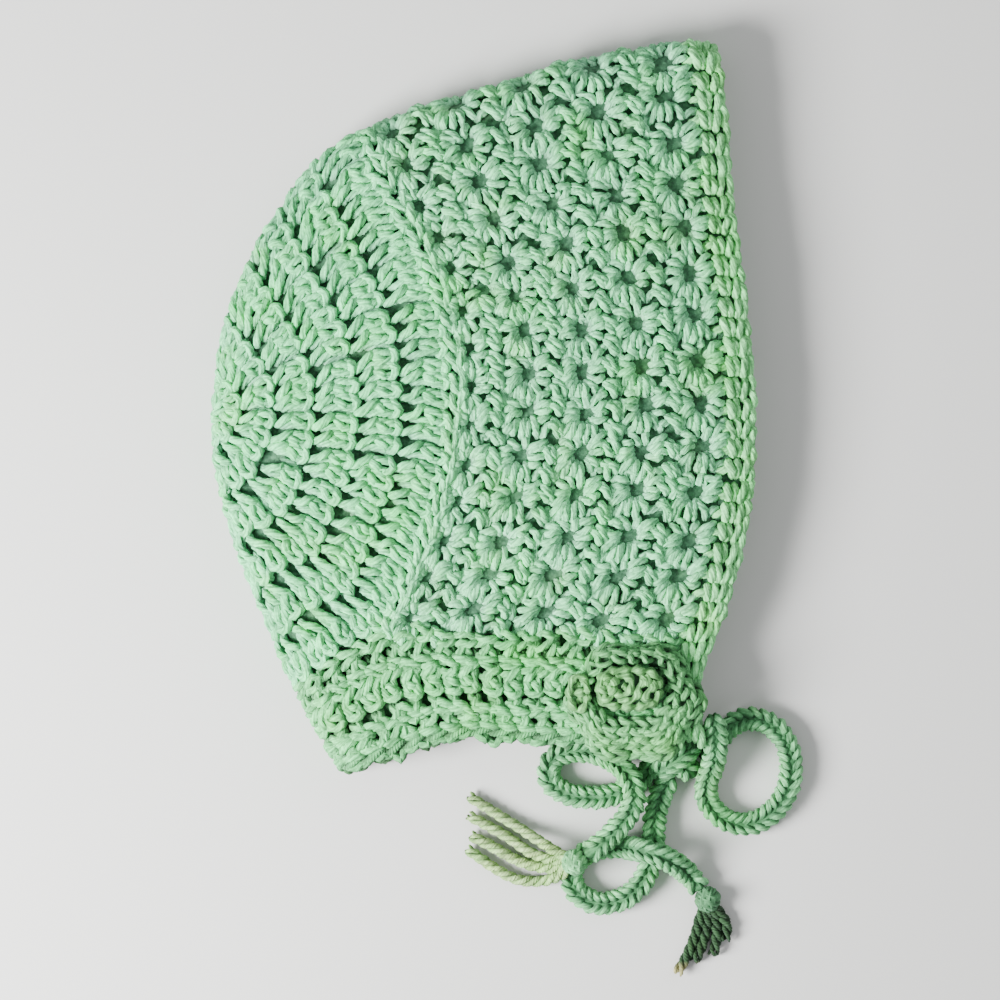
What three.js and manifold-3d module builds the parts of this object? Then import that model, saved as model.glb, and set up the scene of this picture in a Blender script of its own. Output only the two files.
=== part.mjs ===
// A baby's crochet bonnet, folded flat along its centre line and lying on its side.
// Millimetres, +Z up. X runs from the round back to the face opening, Y from the neck to the peak.
// The origin is under the middle of the bonnet, on the surface that it lies on.
import * as THREE from 'three';
import { mergeVertices } from 'three/addons/utils/BufferGeometryUtils.js';
import Module from 'manifold-3d';

// Driving dimensions
const WALL = 3.2;            // thickness of the crochet fabric
const FOLD_RADIUS = 5.0;     // radius of the middle of the fabric round the centre fold
const BULGE = 5.2;           // extra height of the upper layer over the middle of the bonnet
const SOFT_RISE = 16;        // distance from an edge over which that height comes up
const MOUTH_BULGE = 0.12;    // share of that height left at the face and neck edges
const PIECE_GAP = 0.4;       // gap between neighbouring pieces of fabric
const EDGING_WIDTH = 7.0;    // band of small stitches round the face
const NECK_WIDTH = 25;       // band along the neck, at its middle
const ROUND_COUNT = 6;       // rounds of tall stitches in the crown
const ROUND_PITCH = 9.9;     // from one round of the crown to the next
const CENTRE_LOSS = 2.15;    // what the first round loses where it turns over the fold
const STAR_ROWS = 5;         // double rows of star stitch
const STEPS_PER_STAR_ROW = 4;
const NECK_ROWS = 4;         // rows of the neck band
const STEPS_PER_NECK_ROW = 2;
const NECK_SIDE_STEPS = 9;   // steps along the neck band under the sides
const EDGING_STEPS = 3;      // steps across the face edging
const CORNER_STEPS = 3;      // steps along the face edging below the neck line
const RIB_HEIGHT = 0.5;      // relief of rounds and rows on the outside
const NECK_RIB = 0.6;        // share of that relief on the neck band
const EDGING_RIB = 0.4;      // share of that relief on the face edging
const RIM_SHARE = 0.8;       // share of the crown's rim along the sides, the rest is along the neck band
const EASE_SHARE = 0.06;     // share of the edging line that is eased onto the fold
const CORD_DIAMETER = 5.0;
const CORD_SIDES = 10;
const CORD_STEP = 6.6;       // length of one step of a tie
const SEAT_GAP = 0.3;        // gap between a tie and what it meets
const YARN_RADIUS = 1.5;     // one strand of a tassel
const YARN_SIDES = 6;
const YARN_STEP = 6;         // length of one step of a strand
const ON_LINE = 0.01;        // nearer than this, a point counts as on a line

// Straight stretches that stand for a curve where distances to it are measured
const FOLD_STRETCHES = 260;
const FACE_STRETCHES = 80;
const NECK_STRETCHES = 60;
const FOLD_POINTS = 36;      // points of the fold curve
const PAST_END = 20;         // how far the fold line runs on past its ends

// The outline along the centre fold, from the peak round the back to the neck tip
const FOLD_TABLE = [
  // x, y
  [57.7, 89.8], [52.2, 90.8], [34.7, 87.8], [19.7, 84.8], [4.7, 79.8], [-12.8, 74.8], [-27.8, 68.8],
  [-38.3, 62.6], [-45.3, 55.2], [-50.3, 47.8], [-55.7, 40.0], [-60.2, 29.7], [-63.6, 19.8],
  [-65.5, 7.7], [-66.3, -4.3], [-65.8, -14.8], [-63.6, -25.0], [-60.7, -34.8], [-56.7, -45.0],
  [-51.7, -57.4], [-46.7, -68.8], [-41.4, -79.6], [-37.0, -87.2], [-34.4, -90.7],
];
// The face edge, from the peak down to the front corner
const FACE_TABLE = [
  // x, y
  [57.7, 89.8], [59.4, 76.2], [60.1, 63.7], [61.1, 51.2], [62.7, 38.7], [64.4, 26.2], [65.7, 13.7],
  [66.5, 1.2], [66.6, -11.3], [65.5, -23.8], [63.3, -36.1], [60.0, -48.8], [55.2, -60.8],
  [53.1, -70.8], [53.8, -77.8], [54.6, -83.0],
];
// The neck edge, from the neck tip to the front corner
const NECK_EDGE_TABLE = [
  // x, y
  [-34.4, -90.7], [-23.8, -86.9], [-15.5, -83.7], [-4.8, -81.4], [4.7, -81.3], [14.0, -82.4],
  [25.2, -83.1], [35.2, -83.4], [44.2, -83.4], [54.6, -83.0],
];
// The line where the neck band meets the crown and the sides, from the fold to the face
const NECK_LINE_TABLE = [
  // x, y
  [-45.5, -71.0], [-38.3, -64.6], [-30.8, -59.8], [-22.0, -56.6], [-12.8, -56.0], [4.7, -56.6],
  [19.7, -57.0], [34.7, -57.5], [56.8, -58.0],
];
// The last round of the crown, from the fold down to the neck line
const CROWN_RIM_TABLE = [
  // x, y
  [-27.8, 68.8], [-25.4, 61.7], [-21.1, 51.5], [-15.1, 39.5], [-10.3, 29.0], [-7.6, 17.7],
  [-6.3, 6.5], [-6.6, -6.1], [-8.4, -17.3], [-11.3, -27.3], [-14.3, -36.1], [-17.8, -44.3],
  [-20.6, -51.3], [-22.0, -56.6],
];
const CROWN_CENTRE = new THREE.Vector2(-66.2, -1.1);

// Distances from the fold, along a row, at which the turning fabric is sampled
const FOLD_SAMPLES = [0, 0.5, 1.9, 4.2, 7.4];
const ROW_SAMPLE = 8.2;      // step between samples past the fold

// Ties: x and y on the surface, z of the centre of the cord
const FLOOR_Z = CORD_DIAMETER / 2 + 0.05;
const OVER_Z = FLOOR_Z + CORD_DIAMETER + 0.6;
const TIE_LOOP_RIGHT = [
  // x, y, z
  [57.4, -77.2, 10.6], [58.0, -80.2, 10.3], [58.2, -83.4, 9.5], [58.1, -86.8, 8.4], [57.2, -90.4, 6.2],
  [56.1, -94.4, 3.7], [56.6, -98.8, FLOOR_Z], [60.0, -102.7, FLOOR_Z], [65.0, -104.4, FLOOR_Z],
  [70.0, -103.2, FLOOR_Z], [74.0, -99.8, FLOOR_Z], [76.7, -94.8, FLOOR_Z], [77.3, -89.0, FLOOR_Z],
  [75.8, -83.6, FLOOR_Z], [72.2, -79.6, FLOOR_Z], [67.4, -78.0, FLOOR_Z], [63.0, -79.2, FLOOR_Z],
  [60.0, -82.2, FLOOR_Z], [57.4, -85.4, FLOOR_Z], [54.4, -87.0, 3.2],
];
const TIE_TAIL_LEFT = [
  // x, y, z
  [43.1, -89.4, 3.4], [40.6, -92.4, 2.7], [37.4, -95.0, FLOOR_Z], [33.0, -97.0, FLOOR_Z],
  [27.6, -97.7, FLOOR_Z], [22.0, -97.0, FLOOR_Z], [18.0, -94.6, FLOOR_Z], [16.7, -91.0, FLOOR_Z],
  [18.3, -87.7, FLOOR_Z], [22.6, -86.2, FLOOR_Z], [27.8, -86.3, 2.9], [32.6, -88.2, 4.8],
  [36.4, -91.6, 7.4], [38.1, -96.0, OVER_Z], [37.2, -100.4, OVER_Z], [34.4, -104.4, OVER_Z],
  [31.0, -107.7, OVER_Z], [28.0, -110.2, OVER_Z], [25.8, -111.6, OVER_Z],
];
const TIE_TAIL_LOWER = [
  // x, y, z
  [47.0, -93.0, 3.2], [44.8, -97.2, FLOOR_Z], [43.4, -102.4, FLOOR_Z], [43.1, -107.8, FLOOR_Z],
  [42.6, -113.0, FLOOR_Z], [40.6, -118.0, FLOOR_Z], [37.0, -122.0, FLOOR_Z], [32.2, -124.0, FLOOR_Z],
  [27.2, -123.6, FLOOR_Z], [23.4, -120.8, FLOOR_Z], [22.4, -116.8, FLOOR_Z], [24.4, -113.0, FLOOR_Z],
  [28.4, -110.7, FLOOR_Z], [32.8, -110.0, FLOOR_Z], [37.0, -110.2, 4.0], [40.5, -110.6, 7.5],
  [44.6, -111.8, OVER_Z], [48.6, -114.2, 6.0], [52.0, -117.2, 3.0], [54.6, -120.6, 2.95],
];

// Tassels: the tie that each one ends, and its yarn ends
const TASSEL_LEFT = {
  route: TIE_TAIL_LEFT,
  headRadius: 2.8,
  strands: [
    // points after the head: x, y, z
    [[17.2, -110.0, 6.2], [9.7, -105.4, 2.4], [2.2, -100.8, 1.7], [-3.2, -97.4, 1.7]],
    [[17.2, -112.8, 5.6], [12.2, -111.4, 2.8], [6.2, -107.4, 1.7], [-3.3, -102.2, 1.7]],
    [[17.8, -115.2, 4.6], [10.2, -114.0, 1.7], [4.2, -110.8, 1.7], [-2.6, -107.2, 1.7]],
    [[20.2, -116.6, 5.4], [14.2, -118.7, 1.9], [6.8, -117.4, 1.7], [-3.6, -110.6, 1.7]],
  ],
};
const TASSEL_LOWER = {
  route: TIE_TAIL_LOWER,
  headRadius: 2.8,
  strands: [
    // points after the head: x, y, z
    [[59.2, -126.0, 2.0], [61.2, -129.6, 1.7], [60.8, -133.6, 1.7]],
    [[58.2, -127.4, 1.8], [58.8, -132.4, 1.7], [57.8, -137.2, 1.7]],
    [[56.4, -128.4, 1.7], [55.4, -133.8, 1.7], [53.2, -138.8, 1.7]],
    [[54.6, -128.0, 1.8], [52.4, -135.0, 1.7], [48.8, -141.8, 1.7]],
  ],
};

// Flower: a disc with its centre off the middle, lobed by its petals
const FLOWER_CENTRE = new THREE.Vector2(37.6, -69.4);
const FLOWER_MIDDLE = new THREE.Vector2(38.0, -73.4);
const FLOWER = { petals: 6, radiusX: 14.8, radiusY: 13.4, lobe: 0.08, dip: 0.8, seat: 0.35 };
const FLOWER_PROFILE = [
  // share of the radius, height of the upper face
  [0.0, 5.2], [0.2, 5.0], [0.36, 4.0], [0.44, 2.5], [0.56, 3.6], [0.72, 4.1], [0.88, 3.3], [1.0, 1.6],
];
const FLOWER_SIDES = 36;

// Knot of the two ties: a lump with one turn of cord wrapped over it, turned by wrapTurn
const KNOT = {
  x: 48.6, radiusX: 5.0, radiusY: 4.4, radiusZ: 4.4, z: 4.6, wrapRadius: 1.7, wrapProud: 0.2, wrapTurn: 0.5,
};

const COLOURS = {
  crown: 0x93cba6,
  star: 0x9ad3ae,
  edging: 0xa6dbb8,
  neck: 0x8fc6a2,
  flower: 0x9fd6b0,
  cord: 0x97cfa9,
  tassel: 0xb4dcb0,
};

function yarnMaterial(colour) {
  return new THREE.MeshStandardMaterial({ color: colour, roughness: 0.9, metalness: 0 });
}

function smoothCurve(table) {
  return new THREE.SplineCurve(table.map(([x, y]) => new THREE.Vector2(x, y)));
}

// A curve moved to its left, seen from above, by a distance
function movedLeft(curve, distance, count) {
  const points = [];
  for (let i = 0; i <= count; i += 1) {
    const tangent = curve.getTangentAt(i / count);
    const point = curve.getPointAt(i / count);
    points.push(new THREE.Vector2(point.x - distance * tangent.y, point.y + distance * tangent.x));
  }
  return new THREE.SplineCurve(points);
}

const outline = smoothCurve(FOLD_TABLE);
const fold = movedLeft(outline, WALL / 2, FOLD_POINTS);

// The share of a curve's length that lies nearest to a point
function shareAt(curve, point) {
  const count = 2000;
  let best = 0;
  let bestDistance = Infinity;
  curve.getSpacedPoints(count).forEach((candidate, i) => {
    const distance = candidate.distanceTo(point);
    if (distance < bestDistance) {
      bestDistance = distance;
      best = i / count;
    }
  });
  return best;
}

function nearestOnFold(point) {
  return fold.getPointAt(shareAt(fold, point));
}

// A smooth curve through a table whose first row lies on the fold
function fromFold(table) {
  const points = table.map(([x, y]) => new THREE.Vector2(x, y));
  points[0] = nearestOnFold(points[0]);
  return new THREE.SplineCurve(points);
}

const face = fromFold(FACE_TABLE);
const neckEdge = fromFold(NECK_EDGE_TABLE);
const neckLine = fromFold(NECK_LINE_TABLE);
const crownRim = fromFold(CROWN_RIM_TABLE);
const crownCentre = nearestOnFold(CROWN_CENTRE);

// A curve as many short straight stretches, lengthened past both ends by reach
function polyline(curve, count, reach) {
  const points = curve.getSpacedPoints(count);
  const first = points[0].clone().sub(points[1]).setLength(reach).add(points[0]);
  const last = points[count].clone().sub(points[count - 1]).setLength(reach).add(points[count]);
  return [first, ...points, last];
}

const foldLine = polyline(fold, FOLD_STRETCHES, PAST_END);
const faceLine = polyline(face, FACE_STRETCHES, ON_LINE);
const neckEdgeLine = polyline(neckEdge, NECK_STRETCHES, ON_LINE);

// The distance from a point to a polyline, and the unit direction away from it towards its left.
// A point on the line or to its right has the line's own left for direction, and inside is false.
function nearest(line, x, y) {
  let best = { distance: Infinity };
  for (let i = 0; i + 1 < line.length; i += 1) {
    const ax = line[i].x;
    const ay = line[i].y;
    const ex = line[i + 1].x - ax;
    const ey = line[i + 1].y - ay;
    const along = THREE.MathUtils.clamp(((x - ax) * ex + (y - ay) * ey) / (ex * ex + ey * ey), 0, 1);
    const dx = x - ax - along * ex;
    const dy = y - ay - along * ey;
    const distance = Math.hypot(dx, dy);
    if (distance < best.distance) {
      const length = Math.hypot(ex, ey);
      const inside = distance > ON_LINE && ex * dy - ey * dx > 0;
      best = {
        distance,
        inside,
        dx: inside ? dx / distance : -ey / length,
        dy: inside ? dy / distance : ex / length,
      };
    }
  }
  return best;
}

// Extra height of the upper layer: nothing at the fold, little at the face and neck, most in the middle
function bulge(x, y) {
  const rise = (line) => 1 - Math.exp(-nearest(line, x, y).distance / SOFT_RISE);
  const mouthRise = (line) => MOUTH_BULGE + (1 - MOUTH_BULGE) * rise(line);
  return BULGE * rise(foldLine) * mouthRise(faceLine) * mouthRise(neckEdgeLine);
}

// Middle of the fabric over the point x, y of one layer, moved out by offset along its normal.
// side is 1 on the upper layer, -1 on the lower layer and 0 on the fold itself.
function fabricPoint(x, y, side, offset, rib) {
  const { distance, inside, dx, dy } = nearest(foldLine, x, y);
  const depth = inside && side !== 0 ? Math.min(distance, FOLD_RADIUS) : 0;
  const inward = 1 - depth / FOLD_RADIUS;
  const upright = Math.sqrt(1 - inward * inward);
  const step = 0.2;
  const raised = side > 0 ? bulge(x, y) : 0;
  const slopeX = side > 0 ? (bulge(x + step, y) - bulge(x - step, y)) / (2 * step) : 0;
  const slopeY = side > 0 ? (bulge(x, y + step) - bulge(x, y - step)) / (2 * step) : 0;
  const normal = new THREE.Vector3(
    -inward * dx - upright * slopeX,
    -inward * dy - upright * slopeY,
    side * upright,
  ).normalize();
  const ribShare = 0.5 * (1 + side * upright);
  const middle = new THREE.Vector3(x, y, WALL / 2 + FOLD_RADIUS * (1 + side * upright) + raised);
  return middle.addScaledVector(normal, offset + rib * ribShare);
}

// Both faces of the fabric over one point
function fabricPair(x, y, side, rib) {
  return {
    outer: fabricPoint(x, y, side, WALL / 2, rib),
    inner: fabricPoint(x, y, side, -WALL / 2, 0),
  };
}

// A patch between four curves that meet at its corners: u runs along top and bottom, v along the sides
function coons(top, bottom, left, right) {
  return (u, v) => {
    const point = new THREE.Vector2();
    point.addScaledVector(top(u), 1 - v).addScaledVector(bottom(u), v);
    point.addScaledVector(left(v), 1 - u).addScaledVector(right(v), u);
    point.addScaledVector(top(0), -(1 - u) * (1 - v)).addScaledVector(top(1), -u * (1 - v));
    point.addScaledVector(bottom(0), -(1 - u) * v).addScaledVector(bottom(1), -u * v);
    return point;
  };
}

function stretch(curve, from, to) {
  return (t) => curve.getPointAt(THREE.MathUtils.clamp(from + (to - from) * t, 0, 1));
}

// Inner line of the face edging: the face edge moved back by the width of the edging
function edgingLine(t) {
  const point = face.getPointAt(t);
  return new THREE.Vector2(point.x - EDGING_WIDTH, point.y);
}

// Where the lines meet
const rimStart = crownRim.getPointAt(0);
const rimEnd = crownRim.getPointAt(1);
const foldAtRim = shareAt(fold, rimStart);
const foldAtCentre = shareAt(fold, crownCentre);
const foldAtNeck = shareAt(fold, neckLine.getPointAt(0));
const peak = face.getPointAt(0);
const foldAtEdging = shareAt(fold, new THREE.Vector2(peak.x - EDGING_WIDTH, peak.y));
const neckAtRim = shareAt(neckLine, rimEnd);
const faceAtNeckLine = shareAt(face, neckLine.getPointAt(1));
const edgingTop = fold.getPointAt(foldAtEdging);

// The edging line starts on the fold, so its first stretch is eased onto it
function easedEdging(t) {
  const ease = Math.max(0, 1 - t / EASE_SHARE) ** 2;
  return edgingLine(t).lerp(edgingTop, ease);
}

const edgingUpper = (v) => easedEdging(faceAtNeckLine * v);
const edgingLower = (v) => easedEdging(faceAtNeckLine + (1 - faceAtNeckLine) * v);
const neckFront = edgingUpper(1);
const neckAtEdging = shareAt(neckLine, neckFront);
const neckEdgeAtEdging = shareAt(neckEdge, edgingLower(1));

// Eases a curve so that it ends exactly on a point
function endingOn(curve, point) {
  const slip = point.clone().sub(curve(1));
  return (t) => curve(t).addScaledVector(slip, t * t);
}

function startingOn(curve, point) {
  const slip = point.clone().sub(curve(0));
  return (t) => curve(t).addScaledVector(slip, (1 - t) * (1 - t));
}

const neckBack = stretch(neckLine, 0, neckAtRim);
const neckSides = endingOn(startingOn(stretch(neckLine, neckAtRim, neckAtEdging), rimEnd), neckFront);
const neckLower = endingOn(stretch(neckEdge, 0, neckEdgeAtEdging), edgingLower(1));
const rimLine = stretch(crownRim, 0, 1);

// Length shares of the neck line's two stretches
const backLength = neckLine.getLength() * neckAtRim;
const sideLength = neckLine.getLength() * (neckAtEdging - neckAtRim);
const backShare = backLength / (backLength + sideLength);

function neckTop(u) {
  return u < backShare ? neckBack(u / backShare) : neckSides((u - backShare) / (1 - backShare));
}

// Samples of a row that starts on the fold: close together round the fold, then even
function rowSamples(length) {
  const samples = FOLD_SAMPLES.map((distance) => distance / length);
  const start = FOLD_SAMPLES[FOLD_SAMPLES.length - 1];
  const count = Math.round((length - start) / ROW_SAMPLE);
  for (let i = 1; i <= count; i += 1) {
    samples.push((start + ((length - start) * i) / count) / length);
  }
  return samples;
}

// The same samples on both layers, from the end of the lower one over the fold to the end of the upper one
function bothLayers(samples) {
  const lower = samples.slice(1).reverse().map((t) => ({ t, side: -1 }));
  const upper = samples.slice(1).map((t) => ({ t, side: 1 }));
  return [...lower, { t: 0, side: 0 }, ...upper];
}

const rimSamples = rowSamples(crownRim.getLength());
const backSamples = rowSamples(backLength);

// A closed body from a grid of points on both faces of the fabric
function sheetSolid(grid, options = {}) {
  const { closed = false, pole = null } = options;
  const rows = grid.length;
  const columns = grid[0].length;
  const vertices = [];
  const faces = [];
  const put = (point) => vertices.push(point) - 1;
  const outer = grid.map((row) => row.map((pair) => put(pair.outer)));
  const inner = grid.map((row) => row.map((pair) => put(pair.inner)));
  const quad = (a, b, c, d) => faces.push([a, b, c], [a, c, d]);
  const last = closed ? columns : columns - 1;
  const next = (j) => (j + 1) % columns;
  for (let i = 0; i + 1 < rows; i += 1) {
    for (let j = 0; j < last; j += 1) {
      quad(outer[i][j], outer[i + 1][j], outer[i + 1][next(j)], outer[i][next(j)]);
      quad(inner[i][j], inner[i][next(j)], inner[i + 1][next(j)], inner[i + 1][j]);
    }
  }
  for (let j = 0; j < last; j += 1) {
    quad(outer[rows - 1][j], inner[rows - 1][j], inner[rows - 1][next(j)], outer[rows - 1][next(j)]);
    if (pole === null) {
      quad(outer[0][j], outer[0][next(j)], inner[0][next(j)], inner[0][j]);
    }
  }
  if (!closed) {
    for (let i = 0; i + 1 < rows; i += 1) {
      quad(outer[i][0], inner[i][0], inner[i + 1][0], outer[i + 1][0]);
      quad(outer[i][last], outer[i + 1][last], inner[i + 1][last], inner[i][last]);
    }
  }
  if (pole !== null) {
    const outerPole = put(pole.outer);
    const innerPole = put(pole.inner);
    for (let j = 0; j < last; j += 1) {
      faces.push([outerPole, outer[0][j], outer[0][next(j)]]);
      faces.push([innerPole, inner[0][next(j)], inner[0][j]]);
    }
  }
  return bodyOf(vertices, faces);
}

// An indexed geometry whose faces point out
function bodyOf(vertices, faces) {
  let volume = 0;
  for (const [a, b, c] of faces) {
    volume += vertices[a].dot(new THREE.Vector3().crossVectors(vertices[b], vertices[c]));
  }
  const ordered = volume > 0 ? faces : faces.map(([a, b, c]) => [a, c, b]);
  const geometry = new THREE.BufferGeometry();
  geometry.setAttribute('position', new THREE.Float32BufferAttribute(
    vertices.flatMap((point) => [point.x, point.y, point.z]), 3));
  geometry.setIndex(ordered.flat());
  geometry.computeVertexNormals();
  return geometry;
}

// Relief across rows: low in the groove between two rows, high in the middle of a row
function ribRelief(position) {
  return -RIB_HEIGHT * Math.cos(2 * Math.PI * position);
}

// Crown

// The rim of the crown: down the last round as far as the neck line, then along the neck line to the fold
function rimPoint(beta) {
  return beta < RIM_SHARE ? rimLine(beta / RIM_SHARE) : neckBack((1 - beta) / (1 - RIM_SHARE));
}

// A point of the crown seen from above: s from the centre to the rim, beta from the top fold to the lower one
function crownPlan(s, beta) {
  const straight = (end) => crownCentre.clone().lerp(rimPoint(end), s);
  const topSlip = fold.getPointAt(THREE.MathUtils.lerp(foldAtCentre, foldAtRim, s)).sub(straight(0));
  const lowerSlip = fold.getPointAt(THREE.MathUtils.lerp(foldAtCentre, foldAtNeck, s)).sub(straight(1));
  return straight(beta)
    .addScaledVector(topSlip, (1 - beta) ** 2)
    .addScaledVector(lowerSlip, beta ** 2);
}

const crownReach = ROUND_PITCH * ROUND_COUNT - CENTRE_LOSS;

function roundShare(round) {
  return Math.max(round * ROUND_PITCH - CENTRE_LOSS * Math.min(1, round), 0) / crownReach;
}

function crownGeometry() {
  const betas = [
    ...rimSamples.map((t) => t * RIM_SHARE),
    ...backSamples.slice(0, -1).reverse().map((t) => 1 - t * (1 - RIM_SHARE)),
  ];
  const ring = [
    { beta: 0, side: 0 },
    ...betas.slice(1, -1).map((beta) => ({ beta, side: 1 })),
    { beta: 1, side: 0 },
    ...betas.slice(1, -1).reverse().map((beta) => ({ beta, side: -1 })),
  ];
  const rimInset = 1 - PIECE_GAP / 2 / crownReach;
  const halfRounds = Array.from({ length: 2 * ROUND_COUNT }, (_, i) => (i + 1) / 2);
  const grid = halfRounds.map((round) => {
    const s = Math.min(roundShare(round), rimInset);
    return ring.map(({ beta, side }) => {
      const point = crownPlan(s, beta);
      return fabricPair(point.x, point.y, side, ribRelief(round));
    });
  });
  const pole = fabricPair(crownCentre.x, crownCentre.y, 0, 0);
  return sheetSolid(grid, { closed: true, pole });
}

// Sides and top in star stitch
const starPlan = coons(
  stretch(fold, foldAtRim, foldAtEdging), neckSides, rimLine, edgingUpper);

function starGeometry() {
  const inset = PIECE_GAP / 2 / sideLength;
  const count = STAR_ROWS * STEPS_PER_STAR_ROW;
  const bottom = 1 - PIECE_GAP / 2 / crownRim.getLength();
  const grid = [];
  for (let i = 0; i <= count; i += 1) {
    const u = THREE.MathUtils.clamp(i / count, inset, 1 - inset);
    grid.push(bothLayers(rimSamples).map(({ t, side }) => {
      const point = starPlan(u, Math.min(t, bottom));
      return fabricPair(point.x, point.y, side, ribRelief((i / count) * STAR_ROWS));
    }));
  }
  return sheetSolid(grid);
}

// Neck band
const neckPlan = coons(neckTop, neckLower, stretch(fold, foldAtNeck, 1), edgingLower);

function neckGeometry() {
  const columns = backSamples.map((t) => t * backShare);
  for (let i = 1; i <= NECK_SIDE_STEPS; i += 1) {
    columns.push(backShare + ((1 - backShare) * i) / NECK_SIDE_STEPS);
  }
  const inset = PIECE_GAP / 2 / (backLength + sideLength);
  const topInset = PIECE_GAP / 2 / NECK_WIDTH;
  const count = NECK_ROWS * STEPS_PER_NECK_ROW;
  const grid = [];
  for (let i = 0; i <= count; i += 1) {
    const v = Math.max(i / count, topInset);
    grid.push(bothLayers(columns).map(({ t, side }) => {
      const point = neckPlan(Math.min(t, 1 - inset), v);
      return fabricPair(point.x, point.y, side, NECK_RIB * ribRelief((i / count) * NECK_ROWS));
    }));
  }
  return sheetSolid(grid);
}

// Face edging
function edgingGeometry() {
  const samples = rimSamples.map((t) => t * faceAtNeckLine);
  for (let i = 1; i <= CORNER_STEPS; i += 1) {
    samples.push(faceAtNeckLine + ((1 - faceAtNeckLine) * i) / CORNER_STEPS);
  }
  const inset = PIECE_GAP / 2 / EDGING_WIDTH;
  const topFold = stretch(fold, 0, foldAtEdging);
  const grid = [];
  for (let i = 0; i <= EDGING_STEPS; i += 1) {
    const u = Math.max(i / EDGING_STEPS, inset);
    grid.push(bothLayers(samples).map(({ t, side }) => {
      const onFace = face.getPointAt(t);
      const point = t === 0 ? topFold(1 - u) : easedEdging(t).lerp(onFace, u);
      return fabricPair(point.x, point.y, side, EDGING_RIB * ribRelief(u));
    }));
  }
  return sheetSolid(grid);
}

// Flower: a lobed disc that follows the fabric under it, with a raised centre inside a ring groove
function flowerGeometry() {
  const seat = WALL / 2 + RIB_HEIGHT + FLOWER.seat;
  const rimOf = (angle) => {
    const lobe = 1 + FLOWER.lobe * Math.cos(FLOWER.petals * angle);
    const reach = new THREE.Vector2(FLOWER.radiusX * Math.cos(angle), FLOWER.radiusY * Math.sin(angle));
    return FLOWER_MIDDLE.clone().addScaledVector(reach, lobe);
  };
  const pairAt = (share, height, angle) => {
    const plan = FLOWER_CENTRE.clone().lerp(rimOf(angle), share);
    return {
      outer: fabricPoint(plan.x, plan.y, 1, seat + height, 0),
      inner: fabricPoint(plan.x, plan.y, 1, seat, 0),
    };
  };
  const grid = FLOWER_PROFILE.slice(1).map(([share, height]) => {
    const row = [];
    for (let j = 0; j < FLOWER_SIDES; j += 1) {
      const angle = (2 * Math.PI * j) / FLOWER_SIDES;
      const betweenPetals = (1 - Math.cos(FLOWER.petals * angle)) / 2;
      row.push(pairAt(share, height - FLOWER.dip * share * betweenPetals, angle));
    }
    return row;
  });
  return sheetSolid(grid, { closed: true, pole: pairAt(0, FLOWER_PROFILE[0][1], 0) });
}

// Ties, tassels and knot

const wasm = await Module();
wasm.setup();

function manifoldOf(geometry) {
  const bare = geometry.clone();
  bare.deleteAttribute('normal');
  bare.deleteAttribute('uv');
  const merged = mergeVertices(bare, 1e-4);
  return new wasm.Manifold(new wasm.Mesh({
    numProp: 3,
    vertProperties: new Float32Array(merged.attributes.position.array),
    triVerts: new Uint32Array(merged.index.array),
  }));
}

function geometryOf(manifold) {
  const mesh = manifold.getMesh();
  const geometry = new THREE.BufferGeometry();
  geometry.setAttribute('position', new THREE.BufferAttribute(mesh.vertProperties, 3));
  geometry.setIndex(new THREE.BufferAttribute(mesh.triVerts, 1));
  geometry.computeVertexNormals();
  return geometry;
}

function fuse(geometries) {
  const solids = geometries.map(manifoldOf);
  return geometryOf(solids.slice(1).reduce((sum, solid) => sum.add(solid), solids[0]));
}

function tube(points, radius, sides, step) {
  const places = points.map((point) => new THREE.Vector3(...point));
  const path = new THREE.CatmullRomCurve3(places, false, 'centripetal');
  const section = new THREE.Shape();
  for (let i = 0; i < sides; i += 1) {
    const angle = (2 * Math.PI * (i + 0.5)) / sides;
    const corner = [radius * Math.cos(angle), radius * Math.sin(angle)];
    if (i === 0) {
      section.moveTo(...corner);
    } else {
      section.lineTo(...corner);
    }
  }
  section.closePath();
  return new THREE.ExtrudeGeometry(section, {
    steps: Math.round(path.getLength() / step),
    bevelEnabled: false,
    extrudePath: path,
  });
}

function cordGeometry(route) {
  return tube(route, CORD_DIAMETER / 2, CORD_SIDES, CORD_STEP);
}

// The place of a tassel's head: straight on from the end of its tie, with a gap between them
function headAfter(route, radius) {
  const [before, end] = route.slice(-2).map((point) => new THREE.Vector3(...point));
  const reach = end.clone().sub(before).setLength(radius + SEAT_GAP);
  return end.add(reach).toArray();
}

// The yarn ends of a tie, gathered in a head
function tasselGeometry({ route, headRadius, strands }) {
  const head = headAfter(route, headRadius);
  const ball = new THREE.SphereGeometry(headRadius, 12, 8);
  ball.translate(...head);
  const ends = strands.map((points) => tube([head, ...points], YARN_RADIUS, YARN_SIDES, YARN_STEP));
  return fuse([ball, ...ends]);
}

// The knot lies just below the neck edge
function knotGeometry() {
  const below = new THREE.Vector2(KNOT.x, neckEdge.getPointAt(1).y);
  const edge = neckEdge.getPointAt(shareAt(neckEdge, below));
  const lump = new THREE.SphereGeometry(1, 16, 10);
  lump.scale(KNOT.radiusX, KNOT.radiusY, KNOT.radiusZ);
  const turnRadius = KNOT.radiusZ - KNOT.wrapRadius + KNOT.wrapProud;
  const wrap = new THREE.TorusGeometry(turnRadius, KNOT.wrapRadius, 8, 18);
  wrap.rotateY(Math.PI / 2);
  wrap.rotateZ(KNOT.wrapTurn);
  const knot = fuse([lump, wrap]);
  knot.translate(KNOT.x, edge.y - SEAT_GAP - KNOT.radiusY, KNOT.z);
  return knot;
}

const bonnet = new THREE.Group();

function addPiece(name, geometry, colour) {
  const mesh = new THREE.Mesh(geometry, yarnMaterial(colour));
  mesh.name = name;
  bonnet.add(mesh);
}

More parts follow.
